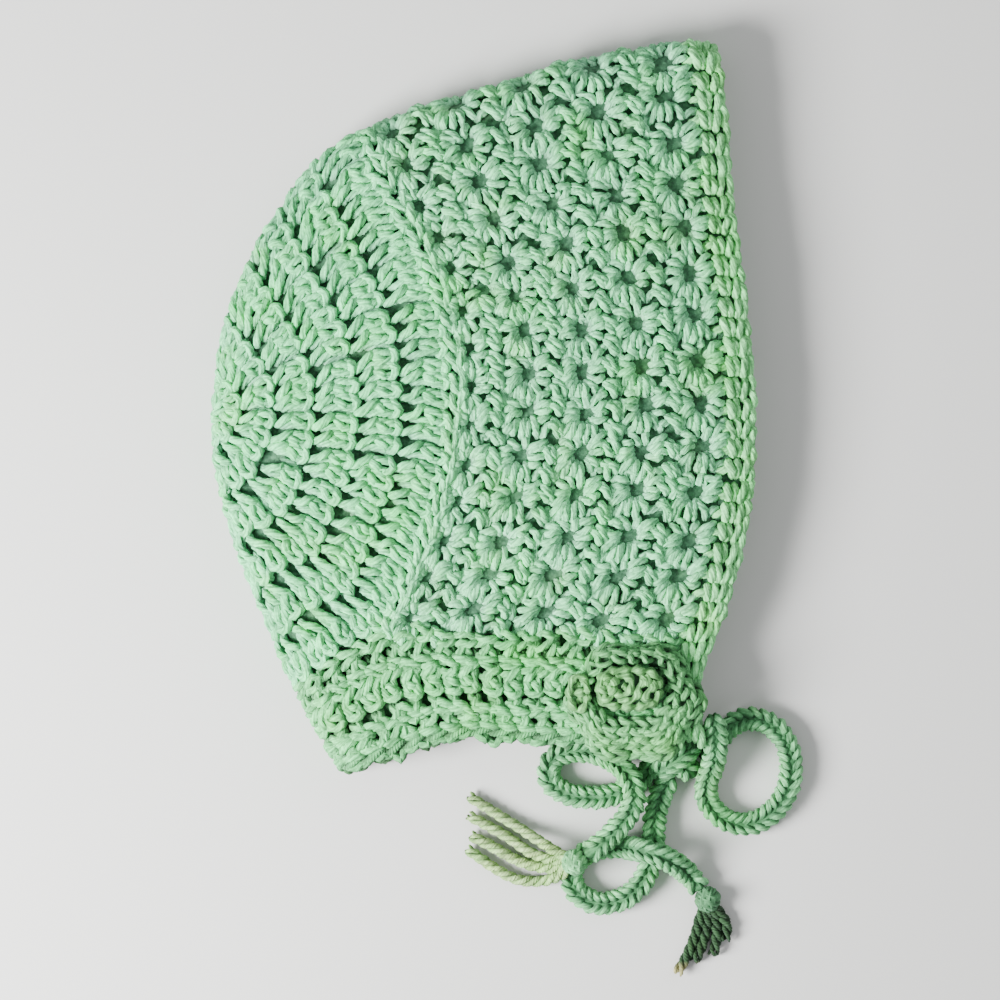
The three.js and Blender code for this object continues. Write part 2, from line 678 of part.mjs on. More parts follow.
addPiece('crown', crownGeometry(), COLOURS.crown);
addPiece('star_sides', starGeometry(), COLOURS.star);
addPiece('front_edging', edgingGeometry(), COLOURS.edging);
addPiece('neck_band', neckGeometry(), COLOURS.neck);
addPiece('flower', flowerGeometry(), COLOURS.flower);
addPiece('bow_knot', knotGeometry(), COLOURS.cord);
addPiece('tie_loop_right', cordGeometry(TIE_LOOP_RIGHT), COLOURS.cord);
addPiece('tie_tail_left', cordGeometry(TIE_TAIL_LEFT), COLOURS.cord);
addPiece('tie_tail_lower', cordGeometry(TIE_TAIL_LOWER), COLOURS.cord);
addPiece('tassel_left', tasselGeometry(TASSEL_LEFT), COLOURS.tassel);
addPiece('tassel_lower', tasselGeometry(TASSEL_LOWER), COLOURS.tassel);

export default bonnet;
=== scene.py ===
import math

import bpy
import numpy as np
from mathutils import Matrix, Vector


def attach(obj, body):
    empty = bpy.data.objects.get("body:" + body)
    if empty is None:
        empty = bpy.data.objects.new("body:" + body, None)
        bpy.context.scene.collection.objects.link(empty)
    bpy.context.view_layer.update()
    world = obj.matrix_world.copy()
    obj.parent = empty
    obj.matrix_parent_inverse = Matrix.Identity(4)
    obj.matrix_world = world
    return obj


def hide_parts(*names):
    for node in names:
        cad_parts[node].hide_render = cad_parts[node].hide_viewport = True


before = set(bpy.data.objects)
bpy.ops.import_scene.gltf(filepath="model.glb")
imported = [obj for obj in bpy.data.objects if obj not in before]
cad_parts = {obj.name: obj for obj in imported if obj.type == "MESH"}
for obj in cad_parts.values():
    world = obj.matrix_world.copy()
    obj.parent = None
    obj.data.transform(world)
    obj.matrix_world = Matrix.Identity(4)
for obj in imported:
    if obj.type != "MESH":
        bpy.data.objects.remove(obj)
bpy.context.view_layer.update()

BODY = "root"
MM = 0.001

# Driving dimensions, the same as the frame's
WALL = 0.0032
FOLD_RADIUS = 0.005
BULGE = 0.0052
SOFT_RISE = 0.016
MOUTH_BULGE = 0.12
EDGING_WIDTH = 0.007
NECK_WIDTH = 0.025
ROUND_COUNT = 6
ROUND_PITCH = 0.0099
CENTRE_LOSS = 0.00215
RIM_SHARE = 0.8
EASE_SHARE = 0.06
SEAT_GAP = 0.0003
CAD_RIB = 0.0005

# Stitches
GROUPS = 6                   # on each side, each round of the crown has this many more stitches
STAR_ROWS = 5
STARS_PER_ROW = 14           # on each side
STAR_PITCH = 0.0142          # from one row of stars to the next
STAR_STEP = 0.010            # from one star to the next in its row
FIRST_STAR = 0.055           # where the first row's eyes are, as a share of the way to the edging
STAR_ROW_SHARE = 0.2165      # from one row of eyes to the next, as such a share
YARN = 0.0011                # radius of the yarn
CROWN_YARN = 0.00115
STAR_YARN = 0.00108
LEAN = 0.4                   # how far two stitches in one foot lean towards it
UNDER_SIDES = 6              # of a strand on the side that the bonnet lies on
FLAT_SIDE = 0.42             # how much of their height the stitches keep where the bonnet rests
JITTER = (0.022, 0.04, 0.2)     # how unlike the strands are: share of the row, of the stitch, mm of height
WANDER = (0.024, 0.07)       # how far stitches lie out of line: share of the row, share of the stitch
SHELL_RELIEF = 0.25          # knots on the inside of the fabric, in mm
SHELL_KNOTS = (1.9, 1.3)     # how close together they are, across and along
SHELL_STAND = -1.0           # mm over the fabric's middle that the shell counts as lying at, so that it takes the deepest painted shade
SIZE_SPREAD = 0.05           # how unlike in thickness the strands are
MAP_LENGTH = 0.01            # length of yarn to one unit of its map
FIRST_ROUND_YARN = (0.82, 0.05)    # thinner yarn in the first rounds: share of the radius, rise a round
FIRST_STAR_SHARE = 0.55      # how far the first row's strands reach towards the crown
NUDGE = 0.0005               # share of a line between two places that give its direction
TINY = 1e-12
PARALLEL = 1e-3              # sine below which a strand counts as upright on the fabric
SPARE_NORMAL = (0.3, 1.0, 0.2)     # what then stands in for the fabric's normal
CROWN_START = 0.004          # share of the way to its rim at which the crown's grid starts
BUTTON_START = 0.02          # the same for the button's

# The outline along the centre fold, from the peak round the back to the neck tip: x, y
FOLD_TABLE = [
    (0.0577, 0.0898), (0.0522, 0.0908), (0.0347, 0.0878), (0.0197, 0.0848), (0.0047, 0.0798),
    (-0.0128, 0.0748), (-0.0278, 0.0688), (-0.0383, 0.0626), (-0.0453, 0.0552), (-0.0503, 0.0478),
    (-0.0557, 0.0400), (-0.0602, 0.0297), (-0.0636, 0.0198), (-0.0655, 0.0077), (-0.0663, -0.0043),
    (-0.0658, -0.0148), (-0.0636, -0.0250), (-0.0607, -0.0348), (-0.0567, -0.0450),
    (-0.0517, -0.0574), (-0.0467, -0.0688), (-0.0414, -0.0796), (-0.0370, -0.0872),
    (-0.0344, -0.0907),
]
# The face edge, from the peak down to the front corner: x, y
FACE_TABLE = [
    (0.0577, 0.0898), (0.0594, 0.0762), (0.0601, 0.0637), (0.0611, 0.0512), (0.0627, 0.0387),
    (0.0644, 0.0262), (0.0657, 0.0137), (0.0665, 0.0012), (0.0666, -0.0113), (0.0655, -0.0238),
    (0.0633, -0.0361), (0.0600, -0.0488), (0.0552, -0.0608), (0.0531, -0.0708), (0.0538, -0.0778),
    (0.0546, -0.0830),
]
# The neck edge, from the neck tip to the front corner: x, y
NECK_EDGE_TABLE = [
    (-0.0344, -0.0907), (-0.0238, -0.0869), (-0.0155, -0.0837), (-0.0048, -0.0814),
    (0.0047, -0.0813), (0.0140, -0.0824), (0.0252, -0.0831), (0.0352, -0.0834), (0.0442, -0.0834),
    (0.0546, -0.0830),
]
# The line where the neck band meets the crown and the sides, from the fold to the face: x, y
NECK_LINE_TABLE = [
    (-0.0455, -0.0710), (-0.0383, -0.0646), (-0.0308, -0.0598), (-0.0220, -0.0566),
    (-0.0128, -0.0560), (0.0047, -0.0566), (0.0197, -0.0570), (0.0347, -0.0575), (0.0568, -0.0580),
]
# The last round of the crown, from the fold down to the neck line: x, y
CROWN_RIM_TABLE = [
    (-0.0278, 0.0688), (-0.0254, 0.0617), (-0.0211, 0.0515), (-0.0151, 0.0395), (-0.0103, 0.0290),
    (-0.0076, 0.0177), (-0.0063, 0.0065), (-0.0066, -0.0061), (-0.0084, -0.0173),
    (-0.0113, -0.0273), (-0.0143, -0.0361), (-0.0178, -0.0443), (-0.0206, -0.0513),
    (-0.0220, -0.0566),
]
CROWN_CENTRE = (-0.0662, -0.0011)

# Ties: points along the middle of each cord, x, y, z
FLOOR_Z = 0.00255
OVER_Z = 0.00815
TIE_LOOP_RIGHT = [
    (0.0574, -0.0772, 0.0106), (0.0580, -0.0802, 0.0103), (0.0582, -0.0834, 0.0095),
    (0.0581, -0.0868, 0.0084), (0.0572, -0.0904, 0.0062), (0.0561, -0.0944, 0.0037),
    (0.0566, -0.0988, FLOOR_Z), (0.0600, -0.1027, FLOOR_Z), (0.0650, -0.1044, FLOOR_Z),
    (0.0700, -0.1032, FLOOR_Z), (0.0740, -0.0998, FLOOR_Z), (0.0767, -0.0948, FLOOR_Z),
    (0.0773, -0.0890, FLOOR_Z), (0.0758, -0.0836, FLOOR_Z), (0.0722, -0.0796, FLOOR_Z),
    (0.0674, -0.0780, FLOOR_Z), (0.0630, -0.0792, FLOOR_Z), (0.0600, -0.0822, FLOOR_Z),
    (0.0574, -0.0854, FLOOR_Z), (0.0544, -0.0870, 0.0032),
]
TIE_TAIL_LEFT = [
    (0.0431, -0.0894, 0.0034), (0.0406, -0.0924, 0.0027), (0.0374, -0.0950, FLOOR_Z),
    (0.0330, -0.0970, FLOOR_Z), (0.0276, -0.0977, FLOOR_Z), (0.0220, -0.0970, FLOOR_Z),
    (0.0180, -0.0946, FLOOR_Z), (0.0167, -0.0910, FLOOR_Z), (0.0183, -0.0877, FLOOR_Z),
    (0.0226, -0.0862, FLOOR_Z), (0.0278, -0.0863, 0.0029), (0.0326, -0.0882, 0.0048),
    (0.0364, -0.0916, 0.0074), (0.0381, -0.0960, OVER_Z), (0.0372, -0.1004, OVER_Z),
    (0.0344, -0.1044, OVER_Z), (0.0310, -0.1077, OVER_Z), (0.0280, -0.1102, OVER_Z),
    (0.0258, -0.1116, OVER_Z),
]
TIE_TAIL_LOWER = [
    (0.0470, -0.0930, 0.0032), (0.0448, -0.0972, FLOOR_Z), (0.0434, -0.1024, FLOOR_Z),
    (0.0431, -0.1078, FLOOR_Z), (0.0426, -0.1130, FLOOR_Z), (0.0406, -0.1180, FLOOR_Z),
    (0.0370, -0.1220, FLOOR_Z), (0.0322, -0.1240, FLOOR_Z), (0.0272, -0.1236, FLOOR_Z),
    (0.0234, -0.1208, FLOOR_Z), (0.0224, -0.1168, FLOOR_Z), (0.0244, -0.1130, FLOOR_Z),
    (0.0284, -0.1107, FLOOR_Z), (0.0328, -0.1100, FLOOR_Z), (0.0370, -0.1102, 0.0040),
    (0.0405, -0.1106, 0.0075), (0.0446, -0.1118, OVER_Z), (0.0486, -0.1142, 0.0060),
    (0.0520, -0.1172, 0.0030), (0.0546, -0.1206, 0.00295),
]

# Yarn ends of the tassels, after the head: x, y, z
TASSEL_HEAD = 0.0028
HEAD_WRAP = 0.0005           # how far the yarn round a head reaches past it
TASSEL_LEFT = [
    [(0.0172, -0.1100, 0.0062), (0.0097, -0.1054, 0.0024), (0.0022, -0.1008, 0.0017),
     (-0.0032, -0.0974, 0.0017)],
    [(0.0172, -0.1128, 0.0056), (0.0122, -0.1114, 0.0028), (0.0062, -0.1074, 0.0017),
     (-0.0033, -0.1022, 0.0017)],
    [(0.0178, -0.1152, 0.0046), (0.0102, -0.1140, 0.0017), (0.0042, -0.1108, 0.0017),
     (-0.0026, -0.1072, 0.0017)],
    [(0.0202, -0.1166, 0.0054), (0.0142, -0.1187, 0.0019), (0.0068, -0.1174, 0.0017),
     (-0.0036, -0.1106, 0.0017)],
]
TASSEL_LOWER = [
    [(0.0592, -0.1260, 0.0020), (0.0612, -0.1296, 0.0017), (0.0608, -0.1336, 0.0017)],
    [(0.0582, -0.1274, 0.0018), (0.0588, -0.1324, 0.0017), (0.0578, -0.1372, 0.0017)],
    [(0.0564, -0.1284, 0.0017), (0.0554, -0.1338, 0.0017), (0.0532, -0.1388, 0.0017)],
    [(0.0546, -0.1280, 0.0018), (0.0524, -0.1350, 0.0017), (0.0488, -0.1418, 0.0017)],
]

# Flower and knot
FLOWER_CENTRE = (0.0363, -0.0697)
FLOWER_MIDDLE = (0.0380, -0.0734)
FLOWER_RADII = (0.0148, 0.0134)
PETALS = 6
PETAL_LOBE = 0.08
FLOWER_SEAT = 0.00035
KNOT_WRAPS = [               # the two short stretches of tie that show on the knot
    [(0.0448, -0.0848, 0.0030), (0.0462, -0.0858, 0.0047), (0.0490, -0.0885, 0.0053),
     (0.0515, -0.0906, 0.0044), (0.0526, -0.0918, 0.0030)],
    [(0.0442, -0.0914, 0.0032), (0.0455, -0.0902, 0.0060), (0.0478, -0.0886, 0.0075),
     (0.0502, -0.0868, 0.0075), (0.0518, -0.0853, 0.0058), (0.0526, -0.0841, 0.0036)],
]

FLOWER_DIP = 0.6             # how much lower the flower is between two petals, in mm
FLOWER_PROFILE = [           # share of the way from the button to the rim, height over the seat in mm
    (0.0, 0.3), (0.20, 0.5), (0.40, 2.6), (0.60, 3.0), (0.85, 2.6), (1.0, 1.6),
]
PETAL_ROWS = [               # share of that way, angles in degrees, first and last
    (0.40, -165, 50), (0.58, -160, -15), (0.75, -160, -15), (0.70, -15, 165), (0.94, -180, 180),
]
PETAL_STEP = 0.0038          # from one stitch to the next in such a row
PETAL_YARN = (0.00085, 0.00105)    # above the button, and below it
PETAL_UNIT = 0.9             # as a share of that yarn's radius
BUTTON_RADII = (0.0087, 0.0054)
BUTTON_SQUARE = 3.0          # power of the button's outline: 2 is an oval, more is squarer
BUTTON_HEIGHT = 3.3          # mm over the seat
BUTTON_YARN = 0.00108
LUMPS = (0.30, 0.0034)       # share by which the button's strands swell, and how far apart
# Strands on the button and on the petal to its left, in mm from the button's middle: x, y, height
BUTTON_COILS = [
    [(-3.2, 2.6, 3.6), (-1.2, 3.1, 4.1), (0.5, 2.0, 4.4), (0.2, -0.4, 4.4), (-1.6, -1.5, 4.3),
     (-3.6, -1.0, 3.8)],
    [(2.9, 3.5, 3.7), (3.6, 1.8, 4.2), (2.3, 0.1, 4.4), (2.0, -1.6, 4.3), (0.4, -2.9, 4.0),
     (-2.8, -2.9, 3.7)],
    [(5.8, 2.2, 4.0), (5.9, 0.4, 4.3), (4.6, -0.9, 4.5), (3.9, -2.3, 4.2), (5.4, -3.0, 3.8)],
    [(-6.7, -2.0, 3.7), (-5.4, -2.5, 4.1), (-4.4, -1.9, 4.1), (-3.9, -0.4, 3.6)],
    [(3.9, 0.9, 4.0), (4.6, 2.2, 4.2), (4.2, 3.4, 3.8)],
    [(-1.6, 0.9, 3.5), (-0.9, 0.4, 3.7), (-1.2, -0.3, 3.5)],
    [(-14.4, -1.2, 2.9), (-12.4, -0.9, 3.5), (-10.5, -1.2, 2.9)],
    [(-12.3, 2.6, 1.8), (-12.6, 0.6, 2.0), (-12.2, -2.4, 2.0), (-12.4, -4.4, 1.8)],
]
BUTTON_RINGS = [             # x, y, radii, height, all in mm
    (-5.2, 1.0, 1.7, 1.8, 4.1), (-5.2, 1.0, 0.7, 0.7, 3.7), (-12.4, -1.1, 2.2, 4.2, 3.5),
]
BUTTON_RIM = 0.83            # where the button's own round of yarn lies, as a share of its radii
BUTTON_EDGE = 0.93           # where its fabric ends, as such a share
BUTTON_DROP = 1.2            # mm by which it is lower at its edge
GROOVE = 0.9                 # where the petals start, as such a share
BUTTON_ROUNDS = ((0.3, 1.0), (-0.9, 1.02))    # mm over the button's top, and how wide
RIM_WAVE = (0.35, 11)        # how the round rises and falls: mm, and how often
RING_WAVE = (0.3, 5)
RING_YARN = 0.95             # share of the button's yarn
BUTTON_STEPS = 73            # points of a round, two for each point of a ring
COIL_STAND = 1.2             # mm that the button's and the heads' yarn counts as standing out
PETAL_JITTER = 0.11
PETAL_BAND = (0.0045, 0.0075)      # width from the button to the rim: above, and how much more below
FLOWER_STEPS = 181           # places at which a row of petals is measured

NECK_STITCHES = 18           # in a row, on each side
NECK_FIRST_ROW = [(0.06, 0.28)]               # start and end, as shares of the band's width
NECK_EYELET_ROW = [(0.31, 0.60)]
NECK_LAST_ROWS = [(0.61, 0.76), (0.77, 0.92)]
EDGING_ROW = [(0.02, 0.98)]
EDGING_STITCHES = 35
NECK_RIDGES = (0.04, 0.31, 0.74)
NECK_CHAIN_PITCH = 0.011
NECK_CHAIN_PLACE = (0.955, 0.9)    # share of the band, mm over it
NECK_CHAIN_STEPS = 260
LIP_STITCHES = (40, 24)      # on each side: along the face, along the neck
ROPE_SPREAD = 0.0007
ROPE_YARN = 0.00095

# Cords and yarn ends
CORD_FINE = 0.0008           # step along a cord
CORD_CORE = 0.0016           # radius of what fills a cord
CORD_YARN = 0.0009
CORD_PITCH = 0.0022          # from one stitch of a cord to the next
CORD_LEG = 2.4               # length of a stitch's leg, in mm
CORD_JITTER = 0.0001
CORD_MIDDLE = 0.001          # distance from the cord's middle line that counts as the fabric's middle
REST_DEPTH = 0.0012          # yarn lower than this over the floor is pressed flat
PLY_STEP = 0.0006
PLY_RADIUS = 0.0008
PLY_OFFSET = 0.00076
PLY_PITCH = 0.0078
PLY_LOOSE = 0.004            # length of the loose tip
TIP_THINNING = 0.35          # share by which its plies get thinner
TIP_SPREAD = 0.5             # share by which they spread
TIP_START = -0.1385          # y past which the lower tassel's painted shadow gives way to a paler tip
WRAP_AXES = ((0.5, 0.8, 0.35), (0.9, -0.35, 0.3))     # the two ways in which yarn is wound round a head
WRAPS = 4                    # turns each way
WRAP_REACH = 0.7             # share of the head's radius at which the outer turns lie
WRAP_STEPS = 28              # points of a turn
WRAP_YARN = 0.8              # share of the yarn's radius
WRAP_SINK = 0.9              # share of its radius that a turn lies inside the head's surface
PLY_REST = 1.02              # radii over the floor at which a ply rests

# Camera and light
VIEW_CENTRE = (0.0047, -0.02355)
VIEW_WIDTH = 0.250
CAMERA_HEIGHT = 0.95
SENSOR = 0.036
KEY_LIGHT = ((-0.45, -0.22, 0.35), (0, -0.02, 0), 0.28, 16.5)    # place, target, size, watts
FILL_LIGHT = ((0.5, 0.35, 0.55), (0, 0, 0), 0.6, 2.0)
ROOM_LIGHT = ((0.95, 0.97, 1.0, 1), 0.55)
FLOOR_COLOUR = (0.62, 0.62, 0.60, 1)
FLOOR_ROUGHNESS = 0.8

# Stitch tables. Each strand is a list of points: share of the row, share of the stitch, height in mm.
# TALL_STITCH: the slanted leg of the foot, two strands side by side, one wrapped over them, and a loop.
TALL_STITCH = [
    [(-0.12, 0.50, 0.0), (0.00, 0.40, 1.4), (0.14, 0.14, 2.1), (0.28, -0.14, 2.0), (0.40, -0.36, 0.8)],
    [(0.28, -0.34, 0.0), (0.44, -0.28, 1.2), (0.60, -0.23, 1.7), (0.74, -0.20, 1.3), (0.87, -0.18, 0.0)],
    [(0.05, 0.52, -0.4), (0.20, 0.42, 0.8), (0.46, 0.28, 1.4), (0.70, 0.25, 1.5), (0.87, 0.20, 0.0)],
    [(0.38, -0.14, 0.9), (0.46, 0.02, 2.0), (0.55, 0.18, 2.0), (0.62, 0.40, 0.7)],
    [(0.64, -0.42, 0.2), (0.77, -0.33, 1.4), (0.87, 0.0, 2.1), (0.78, 0.33, 1.4), (0.65, 0.42, 0.2)],
]
# SHORT_STITCH: two legs that spread from one foot, and the two loops on top
SHORT_STITCH = [
    [(-0.10, 0.16, -0.6), (0.10, 0.16, 0.8), (0.34, -0.02, 1.6), (0.58, -0.20, 1.4), (0.78, -0.28, 0.4)],
    [(-0.10, -0.16, -0.6), (0.10, -0.18, 0.8), (0.34, 0.02, 1.1), (0.58, 0.22, 1.3), (0.78, 0.28, 0.4)],
    [(0.68, -0.60, 0.6), (0.76, -0.30, 1.7), (0.82, 0.0, 2.0), (0.85, 0.32, 1.5), (0.92, 0.56, 0.4)],
    [(0.92, -0.52, 0.0), (0.98, -0.20, 1.0), (0.99, 0.14, 1.1), (0.90, 0.46, 0.3)],
]
# FILLER: what shows of a stitch's back between it and the next one
FILLER = [
    [(0.24, 0.50, -0.6), (0.45, 0.50, 0.1), (0.66, 0.50, 0.1), (0.86, 0.50, -0.5)],
]
# RIDGE_STITCH: the two legs of a V along a ridge between two rows, in mm across and share along
RIDGE_STITCH = [
    [(-1.5, -0.60, 0.6), (-1.5, -0.25, 1.9), (-0.9, 0.10, 2.1), (-0.1, 0.45, 1.4), (0.1, 0.62, 0.4)],
    [(1.6, -0.60, 0.5), (1.5, -0.25, 1.7), (1.0, 0.10, 1.9), (0.4, 0.45, 1.2), (0.1, 0.62, 0.3)],
]
# EDGE_STITCH: a short foot, a plump strand on each side of the edging, and one between them
EDGE_STITCH = [
    [(-0.24, 0.12, -0.5), (-0.04, 0.08, 0.9), (0.14, 0.02, 1.1), (0.34, -0.06, 0.5)],
    [(0.16, -0.46, 0.5), (0.19, -0.18, 1.7), (0.25, 0.14, 1.8), (0.33, 0.44, 0.7)],
    [(0.40, -0.52, 0.4), (0.46, -0.20, 1.3), (0.50, 0.12, 1.3), (0.46, 0.46, 0.4)],
    [(0.84, -0.62, 0.4), (0.80, -0.25, 1.5), (0.74, 0.14, 1.6), (0.70, 0.56, 0.6)],
]
# Star stitch, in mm: from the eye towards the face, along the row, and height over the fabric.
# STAR: four strands towards the next star, four towards the crown, two back to the last one, two low.
STAR = [
    [(-1.4, 1.8, -0.8), (-2.1, 2.9, 0.9), (-2.8, 4.3, 1.4), (-3.6, 6.2, 0.4)],
    [(-0.6, 2.3, -0.8), (-0.9, 3.2, 1.1), (-1.2, 4.8, 1.7), (-1.5, 6.7, 0.5)],
    [(0.3, 2.3, -0.8), (0.5, 3.3, 1.1), (0.5, 4.9, 1.6), (0.3, 6.8, 0.4)],
    [(1.1, 1.7, -0.8), (1.7, 2.8, 0.9), (2.3, 4.2, 1.3), (2.9, 6.0, 0.3)],
    [(-1.7, 1.1, -0.8), (-2.8, 2.0, 0.9), (-4.1, 3.1, 1.4), (-5.6, 4.6, 0.4)],
    [(-1.9, 0.3, -0.8), (-3.0, 0.6, 1.1), (-4.3, 1.0, 1.6), (-5.8, 1.6, 0.4)],
    [(-1.9, -0.6, -0.8), (-3.0, -0.8, 1.1), (-4.3, -0.9, 1.6), (-5.8, -0.6, 0.4)],
    [(-1.6, -1.4, -0.8), (-2.6, -2.2, 1.0), (-3.8, -2.7, 1.5), (-5.4, -2.8, 0.4)],
    [(-0.7, -1.8, -0.8), (-1.2, -2.7, 0.9), (-2.0, -3.6, 1.2), (-3.6, -4.7, 0.3)],
    [(0.5, -1.9, -0.8), (0.6, -2.8, 0.9), (0.8, -3.6, 1.1), (1.0, -4.5, 0.1)],
    [(-3.4, 3.4, -0.6), (-4.1, 4.6, 0.3), (-4.8, 5.8, 0.3), (-5.3, 6.6, -0.6)],
    [(3.4, 6.2, -0.4), (4.2, 5.0, 0.4), (5.2, 4.4, 0.4), (6.2, 4.0, -0.2)],
]
# STAR_POSTS: the two posts that stand in each eye, two strands each
STAR_POSTS = [
    [(1.7, -1.8, -0.7), (2.4, -2.5, 1.0), (3.8, -3.3, 1.5), (5.4, -3.8, 0.6)],
    [(2.2, -0.8, -0.7), (3.0, -1.2, 1.2), (4.4, -1.7, 1.7), (5.8, -2.0, 0.6)],
    [(2.2, 0.3, -0.7), (3.0, 0.3, 1.2), (4.4, 0.2, 1.7), (5.9, -0.1, 0.6)],
    [(1.8, 1.4, -0.7), (2.6, 1.8, 0.9), (3.8, 2.1, 1.4), (5.2, 1.9, 0.5)],
]
# CHAIN_LINK: one slanted link on top of a post, over a low strand. RIM_LINK: one V of the crown's ridge.
CHAIN_LINK = [
    [(4.9, -1.7, 0.7), (5.9, -0.8, 1.9), (7.0, 0.4, 2.1), (7.9, 2.1, 0.9)],
    [(5.8, -2.7, 0.6), (7.0, -1.5, 1.7), (7.9, -0.2, 1.9), (8.6, 1.6, 0.7)],
    [(8.3, -2.3, -0.1), (8.6, -0.8, 0.7), (8.6, 0.9, 0.7), (8.3, 2.5, -0.1)],
]
RIM_LINK = [
    [(-1.5, -2.9, 0.9), (-1.5, -1.2, 2.0), (-0.9, 0.6, 2.2), (-0.1, 2.4, 1.6), (0.1, 3.2, 0.6)],
    [(1.6, -2.9, 0.7), (1.5, -1.2, 1.8), (1.0, 0.6, 2.0), (0.4, 2.4, 1.4), (0.1, 3.2, 0.5)],
]


def beside(tables, x, y):
    """Strands moved over by x and y"""
    return [[(px + x, py + y, height) for px, py, height in table] for table in tables]


def drawn_in(tables, share):
    """Strands whose part on the near side of the eye is shortened"""
    return [[(min(x, 0) * share + max(x, 0), y, height) for x, y, height in table] for table in tables]


STAR_CHAIN = CHAIN_LINK + beside(CHAIN_LINK, 0.2, 5)
RIM_CHAIN = beside(RIM_LINK, 0, -2.5) + beside(RIM_LINK, 0, 2.5)
# PETAL_LINK: the two legs of one V in the petals' rows: across in PETAL_UNIT, share along, height in mm
PETAL_LINK = [
    [(-1.0, -0.62, 0.1), (-1.1, -0.25, 1.1), (-0.6, 0.12, 1.4), (0.0, 0.48, 0.9), (0.2, 0.66, 0.0)],
    [(1.2, -0.62, 0.1), (1.1, -0.25, 1.1), (0.8, 0.12, 1.3), (0.3, 0.48, 0.8), (0.2, 0.66, 0.0)],
]
# One leg of a stitch of a cord, in mm: along it, sideways, up. The legs leave a groove between them.
CORD_STITCH = [
    (-0.2, 0.45, 0.45), (0.35, 0.95, 1.50), (1.3, 1.65, 1.50), (2.2, 2.20, 0.45), (2.4, 2.0, -0.5),
]
# The chain on an edge: mm past the edge, share of the stitch, height in mm
LIP_CHAIN = [
    [(-0.6, -0.66, 0.3), (0.0, -0.30, 1.05), (0.2, 0.05, 1.1), (-0.2, 0.40, 0.8), (-0.6, 0.68, 0.2)],
    [(-0.6, -0.66, -0.3), (0.1, -0.30, -0.9), (0.3, 0.05, -0.9), (-0.1, 0.40, -0.7), (-0.6, 0.68, -0.2)],
]


def smooth(points, per_span):
    """Points along Catmull-Rom curves through the given ones, which lie along the second last axis"""
    points = np.asarray(points, float)
    padded = np.concatenate([points[..., :1, :], points, points[..., -1:, :]], axis=-2)
    spans = points.shape[-2] - 1
    a, b, c, d = (padded[..., k:k + spans, None, :] for k in range(4))
    t = np.linspace(0, 1, per_span, endpoint=False)[:, None]
    curve = b + 0.5 * t * (c - a + t * (2 * a - 5 * b + 4 * c - d + t * (3 * b - a - 3 * c + d)))
    curve = curve.reshape(*points.shape[:-2], spans * per_span, points.shape[-1])
    return np.concatenate([curve, points[..., -1:, :]], axis=-2)


def unit(vectors):
    """Vectors at length one"""
    return vectors / np.maximum(np.linalg.norm(vectors, axis=-1, keepdims=True), TINY)


def lengths_along(points):
    """Length from the first point to each, along the second last axis"""
    steps = np.linalg.norm(np.diff(points, axis=-2), axis=-1)
    start = np.zeros((*steps.shape[:-1], 1))
    return np.concatenate([start, np.cumsum(steps, axis=-1)], axis=-1)


class Line:
    """A smooth plane curve whose places are given by shares of its length"""

    def __init__(self, table):
        self.points = smooth(table, 40)
        reach = lengths_along(self.points)
        self.length = reach[-1]
        self.shares = reach / self.length

    def at(self, share):
        share = np.clip(share, 0, 1)
        return np.stack([np.interp(share, self.shares, self.points[:, k]) for k in (0, 1)], axis=-1)

    def share_near(self, place):
        return self.shares[np.argmin(np.linalg.norm(self.points - place, axis=1))]

    def nearest_to(self, place):
        return self.at(self.share_near(place))


def moved_left(line, distance, count):
    """A line moved to its left, seen from above"""
    shares = np.linspace(0, 1, count + 1)
    tangent = unit(line.at(shares + NUDGE) - line.at(shares - NUDGE))
    return Line(line.at(shares) + distance * np.stack([-tangent[:, 1], tangent[:, 0]], axis=1))


def from_fold(table):
    """A line through a table whose first row lies on the fold"""
    points = np.array(table)
    points[0] = fold.nearest_to(points[0])
    return Line(points)


outline = Line(FOLD_TABLE)
fold = moved_left(outline, WALL / 2, 36)
face = from_fold(FACE_TABLE)
neck_edge = from_fold(NECK_EDGE_TABLE)
neck_line = from_fold(NECK_LINE_TABLE)
crown_rim = from_fold(CROWN_RIM_TABLE)
crown_centre = fold.nearest_to(np.array(CROWN_CENTRE))


def run_on(end, before, distance):
    """The place at a distance straight on past the end of a line"""
    return end + distance * (end - before) / np.linalg.norm(end - before)


def polyline(line, count, past_end=0.00001):
    """A line as short straight stretches, run on a little past both ends"""
    points = line.at(np.linspace(0, 1, count + 1))
    first = run_on(points[0], points[1], past_end)
    last = run_on(points[-1], points[-2], past_end)
    return np.concatenate([[first], points, [last]])


FOLD_STRETCHES = polyline(fold, 260, 0.02)
FACE_STRETCHES = polyline(face, 80)
NECK_STRETCHES = polyline(neck_edge, 60)


def nearest(stretches, places):
    """Distance from places to a polyline, and whether each lies to its left"""
    starts = stretches[:-1]
    edges = np.diff(stretches, axis=0)
    squares = (edges ** 2).sum(axis=1)
    flat = places.reshape(-1, 2)
    distance = np.empty(len(flat))
    left = np.empty(len(flat), bool)
    step = 4000              # places at a time
    for k in range(0, len(flat), step):
        gap = flat[k:k + step, None] - starts
        along = np.clip((gap * edges).sum(axis=2) / squares, 0, 1)
        away = gap - along[..., None] * edges
        far = (away ** 2).sum(axis=2)
        best = far.argmin(axis=1)
        rows = np.arange(len(best))
        away = away[rows, best]
        edge = edges[best]
        distance[k:k + step] = np.sqrt(far[rows, best])
        left[k:k + step] = edge[:, 0] * away[:, 1] - edge[:, 1] * away[:, 0] > 0
    return distance.reshape(places.shape[:-1]), left.reshape(places.shape[:-1])


